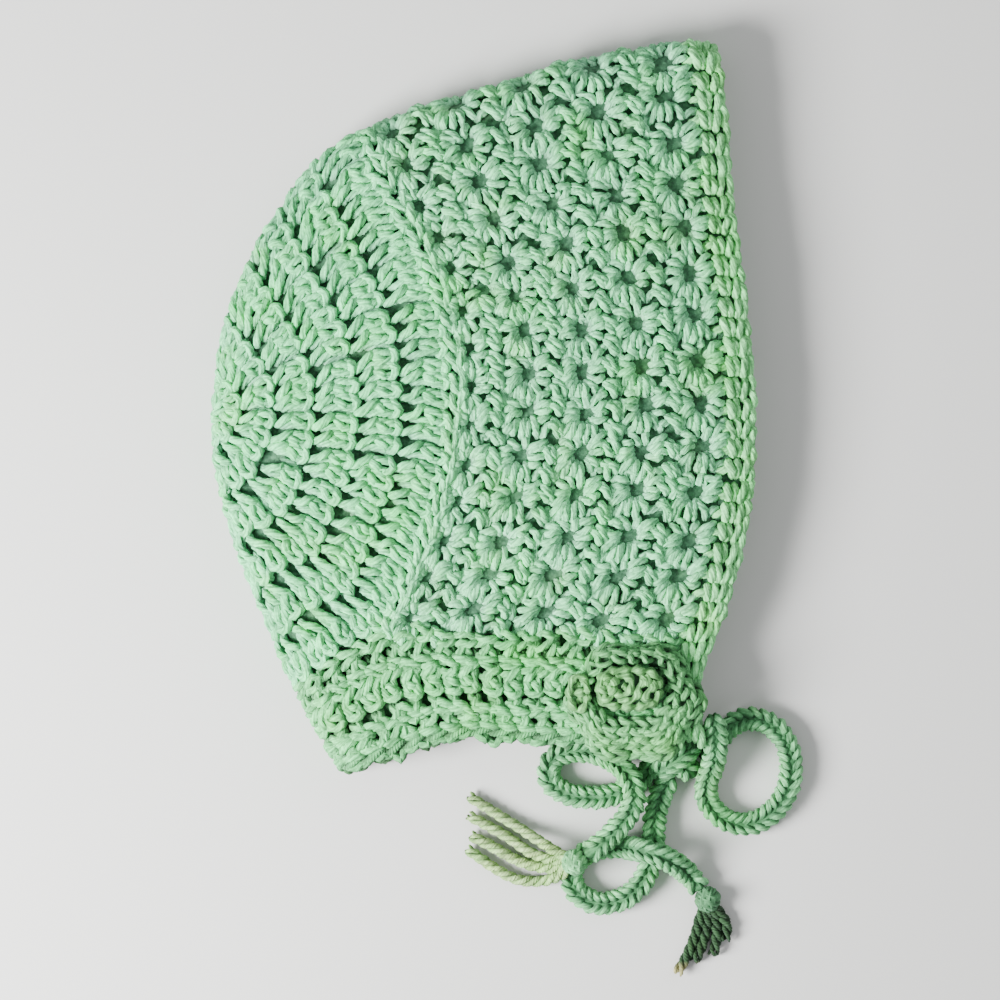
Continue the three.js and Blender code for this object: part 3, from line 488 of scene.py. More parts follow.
def bulge(places):
    """Extra height of the upper layer"""
    fold_rise, face_rise, neck_rise = (
        1 - np.exp(-nearest(stretches, places)[0] / SOFT_RISE)
        for stretches in (FOLD_STRETCHES, FACE_STRETCHES, NECK_STRETCHES))
    face_rise = MOUTH_BULGE + (1 - MOUTH_BULGE) * face_rise
    neck_rise = MOUTH_BULGE + (1 - MOUTH_BULGE) * neck_rise
    return BULGE * fold_rise * face_rise * neck_rise


def middle(places, side):
    """Middle of the fabric over plan places of one layer: side is 1 on the upper one, -1 on the lower"""
    distance, inside = nearest(FOLD_STRETCHES, places)
    depth = np.where(inside, np.minimum(distance, FOLD_RADIUS), 0)
    inward = 1 - depth / FOLD_RADIUS
    upright = np.sqrt(np.maximum(1 - inward ** 2, 0))
    z = WALL / 2 + FOLD_RADIUS * (1 + side * upright)
    if side > 0:
        z = z + bulge(places)
    return np.concatenate([places, z[..., None]], axis=-1)


def coons(top, bottom, left, right):
    """A patch between four curves that meet at its corners: u runs along top and bottom, v along the sides"""
    def place(u, v):
        u, v = np.broadcast_arrays(u, v)
        p, q = u[..., None], v[..., None]
        edges = (1 - q) * top(u) + q * bottom(u) + (1 - p) * left(v) + p * right(v)
        upper = (1 - p) * top(0.0) + p * top(1.0)
        lower = (1 - p) * bottom(0.0) + p * bottom(1.0)
        return edges - (1 - q) * upper - q * lower
    return place


def stretch(line, start, end):
    """The part of a line between two shares of its length"""
    return lambda t: line.at(start + (end - start) * np.asarray(t, float))


def starting_on(curve, place):
    """A curve bent so that it starts on a place"""
    slip = place - curve(0.0)
    return lambda t: curve(t) + slip * ((1 - np.asarray(t, float)) ** 2)[..., None]


def ending_on(curve, place):
    """A curve bent so that it ends on a place"""
    slip = place - curve(1.0)
    return lambda t: curve(t) + slip * (np.asarray(t, float) ** 2)[..., None]


peak = face.at(0.0)
rim_start, rim_end = crown_rim.at(0.0), crown_rim.at(1.0)
fold_at_rim = fold.share_near(rim_start)
fold_at_centre = fold.share_near(crown_centre)
fold_at_neck = fold.share_near(neck_line.at(0.0))
fold_at_edging = fold.share_near(peak - (EDGING_WIDTH, 0))
neck_at_rim = neck_line.share_near(rim_end)
face_at_neck = face.share_near(neck_line.at(1.0))


def edging_line(t):
    """Inner line of the face edging, eased onto the fold at its start"""
    t = np.asarray(t, float)
    ease = (np.maximum(0, 1 - t / EASE_SHARE) ** 2)[..., None]
    inner = face.at(t) - (EDGING_WIDTH, 0)
    return inner * (1 - ease) + fold.at(fold_at_edging) * ease


def edging_upper(v):
    return edging_line(face_at_neck * np.asarray(v, float))


def edging_lower(v):
    return edging_line(face_at_neck + (1 - face_at_neck) * np.asarray(v, float))


neck_at_edging = neck_line.share_near(edging_upper(1.0))
neck_edge_at_edging = neck_edge.share_near(edging_lower(1.0))
neck_back = stretch(neck_line, 0, neck_at_rim)
neck_sides = ending_on(
    starting_on(stretch(neck_line, neck_at_rim, neck_at_edging), rim_end), edging_upper(1.0))
neck_lower = ending_on(stretch(neck_edge, 0, neck_edge_at_edging), edging_lower(1.0))
back_share = neck_at_rim / neck_at_edging


def neck_top(u):
    u = np.asarray(u, float)[..., None]
    on_back = neck_back(np.minimum(u[..., 0] / back_share, 1))
    on_sides = neck_sides(np.clip((u[..., 0] - back_share) / (1 - back_share), 0, 1))
    return np.where(u < back_share, on_back, on_sides)


star_plan = coons(
    stretch(fold, fold_at_rim, fold_at_edging), neck_sides, stretch(crown_rim, 0, 1), edging_upper)
neck_plan = coons(neck_top, neck_lower, stretch(fold, fold_at_neck, 1), edging_lower)


def edging_plan(u, t):
    """Across the face edging: u from its inner line to the face edge, t from the peak down"""
    u, t = np.broadcast_arrays(u, t)
    inner = edging_line(t)
    on_fold = fold.at(fold_at_edging * (1 - u))
    strip = inner + (face.at(t) - inner) * u[..., None]
    return np.where((t == 0)[..., None], on_fold, strip)


def rim_place(beta):
    """The crown's rim: down the last round, then along the neck line to the fold"""
    beta = np.asarray(beta, float)
    on_rim = crown_rim.at(np.minimum(beta / RIM_SHARE, 1))
    on_neck = neck_back(np.clip((1 - beta) / (1 - RIM_SHARE), 0, 1))
    return np.where((beta < RIM_SHARE)[..., None], on_rim, on_neck)


def crown_plan(s, beta):
    """The crown seen from above: s from its centre to the rim, beta from the top fold to the lower one"""
    s, beta = np.broadcast_arrays(s, beta)
    p = s[..., None]

    def straight(end):
        return crown_centre * (1 - p) + rim_place(end) * p

    top_slip = fold.at(fold_at_centre + (fold_at_rim - fold_at_centre) * s) - straight(0.0)
    lower_slip = fold.at(fold_at_centre + (fold_at_neck - fold_at_centre) * s) - straight(1.0)
    b = beta[..., None]
    return straight(beta) + top_slip * (1 - b) ** 2 + lower_slip * b ** 2


def round_share(count):
    """Share of the way from the crown's centre to its rim after that many rounds"""
    reach = ROUND_PITCH * ROUND_COUNT - CENTRE_LOSS
    return np.maximum(count * ROUND_PITCH - CENTRE_LOSS * np.minimum(1, count), 0) / reach


def evened(curves, count):
    """Curves resampled at even steps of their own length, along the second axis"""
    reach = lengths_along(curves)
    out = np.empty((len(curves), count, 3))
    for i, (curve, far) in enumerate(zip(curves, reach)):
        even = np.linspace(0, far[-1], count)
        for k in range(3):
            out[i, :, k] = np.interp(even, far, curve[:, k])
    return out


class Surface:
    """A grid of points on the middle of a fabric, with a runs across its rows and b along them"""

    def __init__(self, grid, b_range, closed=False):
        self.grid = grid
        self.closed = closed
        self.low, self.high = b_range
        wrapped = np.concatenate([grid[:, -2:-1], grid, grid[:, 1:2]], axis=1) if closed else grid
        along_a = np.gradient(grid, axis=0)
        along_b = np.gradient(wrapped, axis=1)
        if closed:
            along_b = along_b[:, 1:-1]
        normals = unit(np.cross(along_a, along_b))
        top = np.unravel_index(np.argmax(grid[..., 2]), grid.shape[:2])
        self.flipped = normals[top][2] < 0
        self.normals = -normals if self.flipped else normals

    def place(self, a, b):
        """Points and outward normals at surface places, also a little past the surface's edges"""
        rows, columns = self.grid.shape[:2]
        span = self.high - self.low
        if self.closed:
            b = self.low + np.mod(b - self.low, span)
        x = a * (rows - 1)
        y = (b - self.low) / span * (columns - 1)
        i = np.clip(x.astype(int), 0, rows - 2)
        j = np.clip(y.astype(int), 0, columns - 2)
        p = (x - i)[..., None]
        q = (y - j)[..., None]
        out = []
        for grid in (self.grid, self.normals):
            near = grid[i, j] * (1 - q) + grid[i, j + 1] * q
            far = grid[i + 1, j] * (1 - q) + grid[i + 1, j + 1] * q
            out.append(near * (1 - p) + far * p)
        return out[0], unit(out[1])


def fold_spread(count):
    """Shares from 0 to 1, close together near 0, where the fabric turns over the fold"""
    return np.linspace(0, 1, count) ** 2


def folded_surface(plan, columns, count):
    """Both layers of a piece whose rows start on the fold: b is -1 at the lower end and 1 at the upper one"""
    u = np.linspace(0, 1, columns)[:, None]
    t = fold_spread(3 * count)[None, :]
    places = plan(u, t)
    upper = evened(middle(places, 1), count)
    lower = evened(middle(places, -1), count)
    return Surface(np.concatenate([lower[:, :0:-1], upper], axis=1), (-1, 1))


def crown_surface(rows, count):
    """The crown: b is 0 at the top fold, 1 at the lower one, and runs on over the lower layer to 2"""
    s = np.linspace(CROWN_START, 1, rows)[:, None]
    half = fold_spread(2 * count) / 2
    beta = np.concatenate([half, 1 - half[-2::-1]])[None, :]
    places = crown_plan(s, beta)
    upper = evened(middle(places, 1), count)
    lower = evened(middle(places, -1), count)
    return Surface(np.concatenate([upper, lower[:, -2::-1]], axis=1), (0, 2), closed=True)


# The numbers of a surface are the points of its grid, across the rows and along them on one layer
crown = crown_surface(120, 320)
star = folded_surface(star_plan, 90, 320)
neck = folded_surface(lambda across, along: neck_plan(along, across), 40, 240)
edging = folded_surface(edging_plan, 12, 360)


class Yarn:
    """Strands gathered for one mesh"""

    def __init__(self, seed, sides=8, per_span=2):
        self.random = np.random.default_rng(seed)
        self.sides = sides
        self.per_span = per_span
        self.vertices = []
        self.quads = []
        self.caps = []
        self.uvs = []
        self.tones = []
        self.heights = []
        self.total = 0

    def add(self, centres, normals, heights, radius, *,
            sides=None, lobe=0.12, pitch=0.012, taper=0.6, tone=None):
        """Round plied strands along centres: strand, ring, xyz. heights says how far each ring stands out"""
        sides = sides or self.sides
        count, rings, _ = centres.shape
        tangents = unit(np.gradient(centres, axis=1))
        across = np.cross(tangents, normals)
        weak = np.linalg.norm(across, axis=2) < PARALLEL
        across[weak] = np.cross(tangents[weak], SPARE_NORMAL)
        across = unit(across)
        up = np.cross(across, tangents)
        reach = lengths_along(centres)
        turn = 2 * math.pi * (reach / pitch + self.random.random((count, 1)))
        theta = turn[..., None] + np.arange(sides) * 2 * math.pi / sides
        own = 1 + SIZE_SPREAD * self.random.normal(size=(count, 1))
        size = np.broadcast_to(radius, (count, rings)) * own
        ends = np.ones(rings)
        ends[[0, -1]] = taper
        size = (size * ends)[..., None] * (1 - lobe * (np.arange(sides) % 2))
        out = np.cos(theta)[..., None] * across[:, :, None] + np.sin(theta)[..., None] * up[:, :, None]
        vertices = centres[:, :, None] + size[..., None] * out
        self.vertices.append(vertices.reshape(-1, 3))
        # How far each point stands out, which the materials turn into painted shade and painted highlight
        stand = heights[..., None] + size * (out * normals[:, :, None]).sum(axis=3)
        self.heights.append(stand.ravel())
        if tone is None:
            tone = self.random.uniform(-1, 1, (count, 1))
        self.tones.append(np.broadcast_to(tone, (count, rings * sides)).ravel())
        self.add_faces(count, rings, sides, reach)

    def add_faces(self, count, rings, sides, reach):
        strand = np.arange(count)[:, None, None] * rings * sides + self.total
        ring = np.arange(rings - 1)[None, :, None] * sides
        side = np.arange(sides)[None, None, :]
        after = (side + 1) % sides
        start = strand + ring
        corners = [start + side, start + sides + side, start + sides + after, start + after]
        self.quads.append(np.stack(corners, axis=-1).reshape(-1, 4))
        near = np.broadcast_to(reach[:, :-1, None], (count, rings - 1, sides)) / MAP_LENGTH
        far = np.broadcast_to(reach[:, 1:, None], (count, rings - 1, sides)) / MAP_LENGTH
        left = np.broadcast_to(side / sides, near.shape)
        right = np.broadcast_to((side + 1) / sides, near.shape)
        uv = [np.stack(pair, axis=-1) for pair in ((near, left), (far, left), (far, right), (near, right))]
        self.uvs.append(np.stack(uv, axis=3).reshape(-1, 4, 2))
        first = strand[:, 0, 0][:, None] + np.arange(sides)
        last = strand[:, 0, 0][:, None] + (rings - 1) * sides + np.arange(sides)[::-1]
        self.caps.append(np.concatenate([first, last]))
        self.total += count * rings * sides

    def build(self, name, material):
        """All strands as one object, with their tones and heights for the material"""
        vertices = pressed(np.concatenate(self.vertices))
        quads = np.concatenate(self.quads)
        loops = [quads.ravel()]
        sizes = [np.full(len(quads), 4)]
        uvs = [np.concatenate(self.uvs).reshape(-1, 2)]
        for caps in self.caps:
            loops.append(caps.ravel())
            sizes.append(np.full(len(caps), caps.shape[1]))
            uvs.append(np.full((caps.size, 2), 0.5))
        obj = mesh_object(name, vertices, np.concatenate(loops), np.concatenate(sizes), material)
        layer = obj.data.uv_layers.new(name="along")
        layer.data.foreach_set("uv", np.concatenate(uvs).ravel())
        add_looks(obj.data, np.concatenate(self.tones), np.concatenate(self.heights) / MM)
        return obj


def pressed(vertices):
    """Yarn that would reach through the floor is pressed flat on it"""
    height = vertices[:, 2]
    squeezed = REST_DEPTH * np.exp(np.minimum(height / REST_DEPTH - 1, 0))
    vertices[:, 2] = np.where(height < REST_DEPTH, squeezed, height)
    return vertices


def add_looks(mesh, tones, stands):
    """What the materials read at each point: the strand's own tone, and its height over the fabric in mm,
    from which they paint shade and highlight
    """
    for name, values in (("tone", tones), ("stand", stands)):
        attribute = mesh.attributes.new(name=name, type="FLOAT", domain="POINT")
        attribute.data.foreach_set("value", np.asarray(values, np.float32))


def mesh_object(name, vertices, loops, sizes, material):
    """An object whose faces are given as one list of corners and the number of corners of each"""
    mesh = bpy.data.meshes.new(name)
    mesh.vertices.add(len(vertices))
    mesh.vertices.foreach_set("co", np.asarray(vertices, np.float32).ravel())
    mesh.loops.add(len(loops))
    mesh.loops.foreach_set("vertex_index", np.asarray(loops, np.int32))
    mesh.polygons.add(len(sizes))
    starts = np.concatenate([[0], np.cumsum(sizes)[:-1]])
    mesh.polygons.foreach_set("loop_start", np.asarray(starts, np.int32))
    mesh.polygons.foreach_set("use_smooth", np.ones(len(sizes), bool))
    mesh.update(calc_edges=True)
    mesh.materials.append(material)
    return in_scene(name, mesh)


def strand_curves(table, row_start, row_span, stitch_start, stitch_span, lean, random, per_span):
    """Strands of one shape on many stitches, whose feet lean over: place across, place along, height in mm"""
    points = np.array(table)[None] + random.normal(size=(len(row_start), len(table), 3)) * JITTER
    curves = smooth(points, per_span)
    foot = np.clip(1 - curves[..., 0], 0, 1) * lean[:, None]
    curves[..., 0] = row_start[:, None] + curves[..., 0] * row_span
    curves[..., 1] = stitch_start[:, None] + curves[..., 1] * stitch_span + foot
    return curves


def lay_strands(yarn, surface, curves, radius, **options):
    """Strands on a surface. Where the bonnet rests, they stand out less"""
    places, normals = surface.place(curves[..., 0], curves[..., 1])
    keep = FLAT_SIDE + (1 - FLAT_SIDE) * (1 + normals[..., 2]) / 2
    heights = np.where(curves[..., 2] > 0, curves[..., 2] * keep, curves[..., 2]) * MM
    yarn.add(places + normals * heights[..., None], normals, heights, radius, **options)


def lay_stitches(yarn, surface, tables, row_start, row_span, stitch_start, stitch_span, radius, lean=0.0):
    """One stitch of several strands, repeated at each start"""
    off = yarn.random.normal(size=(2, len(stitch_start)))
    row_start = row_start + off[0] * WANDER[0] * row_span
    stitch_start = stitch_start + off[1] * WANDER[1] * stitch_span
    lean = np.broadcast_to(lean, np.shape(stitch_start))
    tone = yarn.random.uniform(-1, 1, (len(row_start), 1))
    for table in tables:
        curves = strand_curves(
            table, row_start, row_span, stitch_start, stitch_span, lean, yarn.random, yarn.per_span)
        own = yarn.random.uniform(-1, 1, (len(row_start), 1))
        lay_strands(yarn, surface, curves, radius, tone=0.5 * tone + 0.5 * own)


def in_shares(tables, row, step):
    """Tables in millimetres across and along, as shares of a row and of a step"""
    return [[(x * MM / row, y * MM / step, height) for x, y, height in table] for table in tables]


def in_rows(tables, row):
    """Tables in millimetres across and shares along, as shares of both"""
    return [[(x * MM / row, share, height) for x, share, height in table] for table in tables]


def crown_stitches(name, first, yarn):
    """Rounds of tall stitches on one layer of the crown, which starts at b = first.

    Each round has two stitches in one foot, in each of its groups, so that it grows.
    """
    for count in range(1, ROUND_COUNT + 1):
        start, end = round_share(count - 1), round_share(count)
        group, own = np.divmod(np.arange(GROUPS * count), count)
        places = first + (group + (own + 0.5) / count) / GROUPS
        lean = 0.0
        if count > 1:
            double = yarn.random.integers(0, count - 1)
            feet = first + (group + (own - (own > double) + 0.5) / (count - 1)) / GROUPS
            lean = (feet - places) * LEAN
        radius = CROWN_YARN * min(1, FIRST_ROUND_YARN[0] + FIRST_ROUND_YARN[1] * count)
        span = 1 / (GROUPS * count)
        lay_stitches(yarn, crown, TALL_STITCH, start, end - start, places, span, radius, lean)
        lay_stitches(yarn, crown, FILLER, start, end - start, places, span, radius)
    return yarn.build(name, LOOKS["mint_yarn"])


def star_stitches(name, sign, yarn):
    """Double rows of star stitch on one layer: stars, the pair of posts in each eye, and a chain"""
    places = sign * (np.arange(STARS_PER_ROW) + 0.5) / STARS_PER_ROW
    step = 1 / STARS_PER_ROW
    for row in range(STAR_ROWS):
        eye = FIRST_STAR + STAR_ROW_SHARE * row
        tables = drawn_in(STAR, FIRST_STAR_SHARE) if row == 0 else STAR
        tables = tables + STAR_POSTS
        if row < STAR_ROWS - 1:
            tables = tables + STAR_CHAIN
        tables = in_shares(tables, STAR_PITCH, STAR_STEP)
        lay_stitches(yarn, star, tables, eye, STAR_ROW_SHARE, places, step, STAR_YARN)
    ridge = in_shares(RIM_CHAIN, STAR_PITCH, STAR_STEP)
    lay_stitches(yarn, star, ridge, 0.0, STAR_ROW_SHARE, places, step, YARN)
    return yarn.build(name, LOOKS["star_yarn"])


def row_stitches(yarn, surface, tables, rows, sign, stitches, radius):
    """Rows of one stitch, between pairs of shares of the surface's width"""
    for start, end in rows:
        places = sign * (np.arange(stitches) + 0.5) / stitches
        lay_stitches(yarn, surface, tables, start, end - start, places, 1 / stitches, radius)


def neck_stitches(name, sign, yarn):
    """One layer of the neck band: a short row, the eyelet row of tall stitches, two short rows, ridges"""
    row_stitches(yarn, neck, SHORT_STITCH + FILLER, NECK_FIRST_ROW, sign, NECK_STITCHES, YARN)
    row_stitches(yarn, neck, TALL_STITCH, NECK_EYELET_ROW, sign, NECK_STITCHES, CROWN_YARN)
    row_stitches(yarn, neck, SHORT_STITCH, NECK_LAST_ROWS, sign, NECK_STITCHES, YARN)
    ridge = in_rows(RIDGE_STITCH, NECK_WIDTH)
    for share in NECK_RIDGES:
        row_stitches(yarn, neck, ridge, [(share, share + 1)], sign, NECK_STITCHES + 2, STAR_YARN)
    return yarn.build(name, LOOKS["neck_yarn"])


def edging_stitches(name, sign, yarn):
    row_stitches(yarn, edging, EDGE_STITCH, EDGING_ROW, sign, EDGING_STITCHES, YARN)
    return yarn.build(name, LOOKS["pale_yarn"])


def lip(yarn, surface, width, stitches, radius):
    """The chain that rounds off an edge of the fabric, over both layers"""
    places = -1 + 2 * (np.arange(2 * stitches) + 0.5) / (2 * stitches)
    tables = in_rows(LIP_CHAIN, width)
    lay_stitches(yarn, surface, tables, 1.0, 1.0, places, 1 / stitches, radius)


def shell(name, surface, rows, columns, material, outer, inner):
    """The body of the fabric under its stitches: one closed wall between two heights, in mm"""
    a = np.linspace(0, 1, rows)
    b = np.linspace(surface.low, surface.high, columns + 1)
    if surface.closed:
        b = b[:-1]
    a, b = np.meshgrid(a, b, indexing="ij")
    places, normals = surface.place(a, b)
    keep = FLAT_SIDE + (1 - FLAT_SIDE) * (1 + normals[..., 2:]) / 2
    knots = SHELL_RELIEF * np.sin(a * rows * SHELL_KNOTS[0]) * np.sin(b * columns * SHELL_KNOTS[1])
    out = places + normals * outer * MM * keep
    inside = places + normals * (inner - knots[..., None]) * MM
    vertices = pressed(np.concatenate([out.reshape(-1, 3), inside.reshape(-1, 3)]))
    quads = shell_quads(*a.shape, surface.closed)
    if surface.flipped:
        quads = quads[:, ::-1]
    sizes = np.full(len(quads), 4)
    obj = mesh_object(name, vertices, quads.ravel(), sizes, material)
    # The shell counts as lying deep, so its material paints it with shade
    add_looks(obj.data, np.zeros(len(vertices)), np.full(len(vertices), SHELL_STAND))
    return obj


def shell_quads(rows, columns, closed):
    """Faces of a wall between two grids of points, the outer one first"""
    index = np.arange(rows * columns).reshape(rows, columns)
    if closed:
        index = np.concatenate([index, index[:, :1]], axis=1)
    inner = index + rows * columns
    quads = [
        np.stack([index[:-1, :-1], index[1:, :-1], index[1:, 1:], index[:-1, 1:]], axis=-1),
        np.stack([inner[:-1, :-1], inner[:-1, 1:], inner[1:, 1:], inner[1:, :-1]], axis=-1),
    ]
    edges = [(index[0], inner[0]), (inner[-1], index[-1])]
    if not closed:
        edges += [(inner[:, 0], index[:, 0]), (index[:, -1], inner[:, -1])]
    for one, other in edges:
        quads.append(np.stack([one[:-1], one[1:], other[1:], other[:-1]], axis=-1))
    return np.concatenate([quad.reshape(-1, 4) for quad in quads])


def seated(places, heights):
    """Points over the flower's seat, which follows the fabric under it"""
    points = middle(places, 1)
    points[..., 2] += WALL / 2 + CAD_RIB + FLOWER_SEAT + heights * MM
    return points


def button_outline(angle):
    """A rounded oblong round the button's middle"""
    cosine, sine = np.cos(angle), np.sin(angle)
    reach = (np.abs(cosine) ** BUTTON_SQUARE + np.abs(sine) ** BUTTON_SQUARE) ** (-1 / BUTTON_SQUARE)
    return np.stack([BUTTON_RADII[0] * cosine * reach, BUTTON_RADII[1] * sine * reach], axis=-1)


def flower_surface(rows, columns):
    """Top of the petals: a from the button to the rim, b once round"""
    share = np.linspace(0, 1, rows)[:, None]
    angle = np.linspace(-math.pi, math.pi, columns)[None, :]
    share, angle = np.broadcast_arrays(share, angle)
    lobe = 1 + PETAL_LOBE * np.cos(PETALS * angle)
    rim = np.stack([FLOWER_RADII[0] * np.cos(angle), FLOWER_RADII[1] * np.sin(angle)], axis=-1)
    rim = np.array(FLOWER_MIDDLE) + rim * lobe[..., None]
    start = np.array(FLOWER_CENTRE) + button_outline(angle) * GROOVE
    places = start * (1 - share[..., None]) + rim * share[..., None]
    dip = FLOWER_DIP * share * (1 - np.cos(PETALS * angle)) / 2
    heights = np.interp(share, *zip(*FLOWER_PROFILE)) - dip
    return Surface(seated(places, heights - YARN / MM), (-180, 180), closed=True)


def flower_stitches(name, yarn):
    """Petals: rows of stitches round the button, with more rows below it than above"""
    for share, first, last in PETAL_ROWS:
        angles = np.linspace(first, last, FLOWER_STEPS)
        around = lengths_along(flower.place(np.full(FLOWER_STEPS, share), angles)[0])
        places = np.interp(np.arange(0.0, around[-1], PETAL_STEP), around, angles)
        below = (1 - np.sin(np.radians(places))) / 2
        radius = (PETAL_YARN[0] + (PETAL_YARN[1] - PETAL_YARN[0]) * below)[:, None]
        band = (PETAL_BAND[0] + PETAL_BAND[1] * below)[:, None]
        for table in PETAL_LINK:
            unlike = yarn.random.normal(0, PETAL_JITTER, (len(places), len(table), 3))
            points = np.array(table)[None] + unlike
            curves = smooth(points, yarn.per_span)
            curves[..., 0] = share + curves[..., 0] * radius * PETAL_UNIT / band
            curves[..., 1] = places[:, None] + curves[..., 1] * (last - first) * PETAL_STEP / around[-1]
            lay_strands(yarn, flower, curves, radius)
    return yarn.build(name, LOOKS["flower_yarn"])


def button_surface(rows, columns):
    """Top of the raised middle of the flower: a from its middle to its rim, b once round"""
    share = np.linspace(BUTTON_START, 1, rows)[:, None]
    angle = np.linspace(0, 2 * math.pi, columns)[None, :]
    share, angle = np.broadcast_arrays(share, angle)
    places = np.array(FLOWER_CENTRE) + button_outline(angle) * share[..., None] * BUTTON_EDGE
    heights = BUTTON_HEIGHT - BUTTON_DROP * share ** 4
    return Surface(seated(places, heights), (0, 1), closed=True)


def coil(yarn, points, radius):
    """One strand along points given in mm from the button's middle"""
    points = np.asarray(points)
    curve = seated(np.array(FLOWER_CENTRE) + points[:, :2] * MM, points[:, 2])
    up = np.zeros_like(curve)
    up[:, 2] = 1
    stands = np.full((1, len(curve)), COIL_STAND * MM)
    reach = lengths_along(curve)
    lumps = 1 + LUMPS[0] * np.sin(2 * math.pi * (reach / LUMPS[1] + yarn.random.random()))
    yarn.add(curve[None], up[None], stands, (radius * lumps)[None])


def button_stitches(name, yarn):
    """The coiled middle of the flower: a round of stitches, and the loops inside it"""
    angle = np.linspace(0, 2 * math.pi, BUTTON_STEPS)
    ring = button_outline(angle) * BUTTON_RIM / MM
    for rise, inset in BUTTON_ROUNDS:
        heights = BUTTON_HEIGHT + rise + RIM_WAVE[0] * np.sin(RIM_WAVE[1] * angle)
        coil(yarn, np.concatenate([ring * inset, heights[:, None]], axis=1), BUTTON_YARN)
    for table in BUTTON_COILS:
        coil(yarn, smooth(table, 5), BUTTON_YARN)
    angle = angle[::2]
    for x, y, across, tall, height in BUTTON_RINGS:
        wave = height + RING_WAVE[0] * np.sin(RING_WAVE[1] * angle)
        ring = [x + across * np.cos(angle), y + tall * np.sin(angle), wave]
        coil(yarn, np.stack(ring, axis=1), BUTTON_YARN * RING_YARN)
    return yarn.build(name, LOOKS["button_yarn"])


def twist(yarn, points, up, heights, spread, size, pitch, plies, lowest=None):
    """Plies wound round each other along points. heights says how far the middle stands out"""
    side = unit(np.cross(np.gradient(points, axis=0), up))
    reach = lengths_along(points)
    phase = yarn.random.random()
    for ply in range(plies):
        turn = 2 * math.pi * (reach / pitch + phase + ply / plies)
        out = side * np.cos(turn)[:, None] + up * np.sin(turn)[:, None]
        centres = points + out * np.broadcast_to(spread, reach.shape)[:, None]
        if lowest is not None:
            centres[:, 2] = np.maximum(centres[:, 2], lowest)
        stand = heights + np.sin(turn) * spread
        size_here = np.broadcast_to(size, reach.shape)[None]
        yarn.add(centres[None], out[None], stand[None], size_here, lobe=0.08, pitch=0.004)


def rope_on(yarn, surface, a, b, rise, pitch):
    """Two strands twisted together along a line on a surface, rise mm over it"""
    places, normals = surface.place(a, b)
    curve = evened((places + normals * rise * MM)[None], len(a))[0]
    twist(yarn, curve, normals, np.full(len(a), rise * MM), ROPE_SPREAD, ROPE_YARN, pitch, 2)


def wrapped_ball(yarn, centre, radii, turns, radius):
    """Strands wrapped slantwise round a lump, one way and then across"""
    radii = np.array(radii) - radius * WRAP_SINK
    t = np.linspace(0, 2 * math.pi, WRAP_STEPS)[:, None]
    stands = np.full((1, len(t)), COIL_STAND * MM)
    for axis in WRAP_AXES:
        axis = unit(np.array(axis))
        first = unit(np.cross(axis, (0, 0, 1)))
        second = np.cross(axis, first)
        for offset in np.linspace(-WRAP_REACH, WRAP_REACH, turns):
            reach = math.sqrt(1 - offset ** 2)
            ring = first * np.cos(t) * reach + second * np.sin(t) * reach + axis * offset
            centres = np.array(centre) + ring * radii
            yarn.add(centres[None], unit(ring)[None], stands, radius, taper=0.95)


def cord_frame(route, step):
    """Points, and sideways and upward vectors, at even steps along a cord"""
    curve = smooth(np.array(route), 20)
    count = int(round(lengths_along(curve)[-1] / step))
    points = evened(curve[None], count + 1)[0]
    ahead = unit(np.gradient(points, axis=0))
    side = unit(np.cross(ahead, (0, 0, 1.0)))
    return points, side, np.cross(side, ahead)


def cord_legs(yarn, route):
    """A crochet cord: a core, and over it the two legs of each stitch, above and below"""
    points, side, up = cord_frame(route, CORD_FINE)
    reach = lengths_along(points)
    yarn.add(points[None], up[None], np.full((1, len(points)), -1.0 * MM), CORD_CORE, sides=10, lobe=0.0,
             pitch=1.0, taper=0.9)
    starts = np.arange(0.0, reach[-1] - CORD_LEG * MM, CORD_PITCH)
    for across in (1, -1):
        for rise in (1, -1):
            table = np.array(CORD_STITCH) * (1, across, rise) * MM
            control = table[None] + yarn.random.normal(0, CORD_JITTER, (len(starts), *table.shape))
            curves = smooth(control, 2)
            along = starts[:, None] + curves[..., 0]
            frames = [[np.interp(along, reach, grid[:, k]) for k in range(3)] for grid in (points, side, up)]
            middle_line, sideways, upward = (np.stack(grid, axis=-1) for grid in frames)
            centres = middle_line + sideways * curves[..., 1:2] + upward * curves[..., 2:3]
            normals = centres - middle_line
            out = np.linalg.norm(normals, axis=-1)
            yarn.add(centres, normals / out[..., None], out - CORD_MIDDLE, CORD_YARN)
    return points


def cord_stitches(name, route, seed):
    yarn = Yarn(seed)
    points = cord_legs(yarn, route)
    return yarn.build(name, LOOKS["tie_yarn"]), points


def head_after(route):
    """The place of a tassel's head: straight on from the end of its tie, with a gap between them"""
    return run_on(np.array(route[-1]), np.array(route[-2]), TASSEL_HEAD + SEAT_GAP)


def tassel(name, route, strands, material, wrap_material, seed):
    """Yarn ends, each of three plies twisted round each other, gathered in a wrapped head"""
    head = head_after(route)
    wraps = Yarn(seed)
    wrapped_ball(wraps, head, (TASSEL_HEAD + HEAD_WRAP,) * 3, WRAPS, YARN * WRAP_YARN)
    yarn = Yarn(seed + 1)
    for strand in strands:
        curve = smooth(np.array([tuple(head), *strand]), 16)
        length = lengths_along(curve)[-1]
        points = evened(curve[None], int(length / PLY_STEP))[0]
        ahead = np.gradient(points, axis=0)
        up = unit(np.cross(np.cross(ahead, (0, 0, 1.0)), ahead))
        left = np.clip((lengths_along(points) - (length - PLY_LOOSE)) / PLY_LOOSE, 0, 1)
        size = PLY_RADIUS * (1 - TIP_THINNING * left)
        spread = PLY_OFFSET * (1 + TIP_SPREAD * left ** 2)
        twist(yarn, points, up, np.full(len(points), MM), spread, size, PLY_PITCH, 3, size * PLY_REST)
    return yarn.build(name, material), wraps.build(name.replace("yarn", "head"), wrap_material)


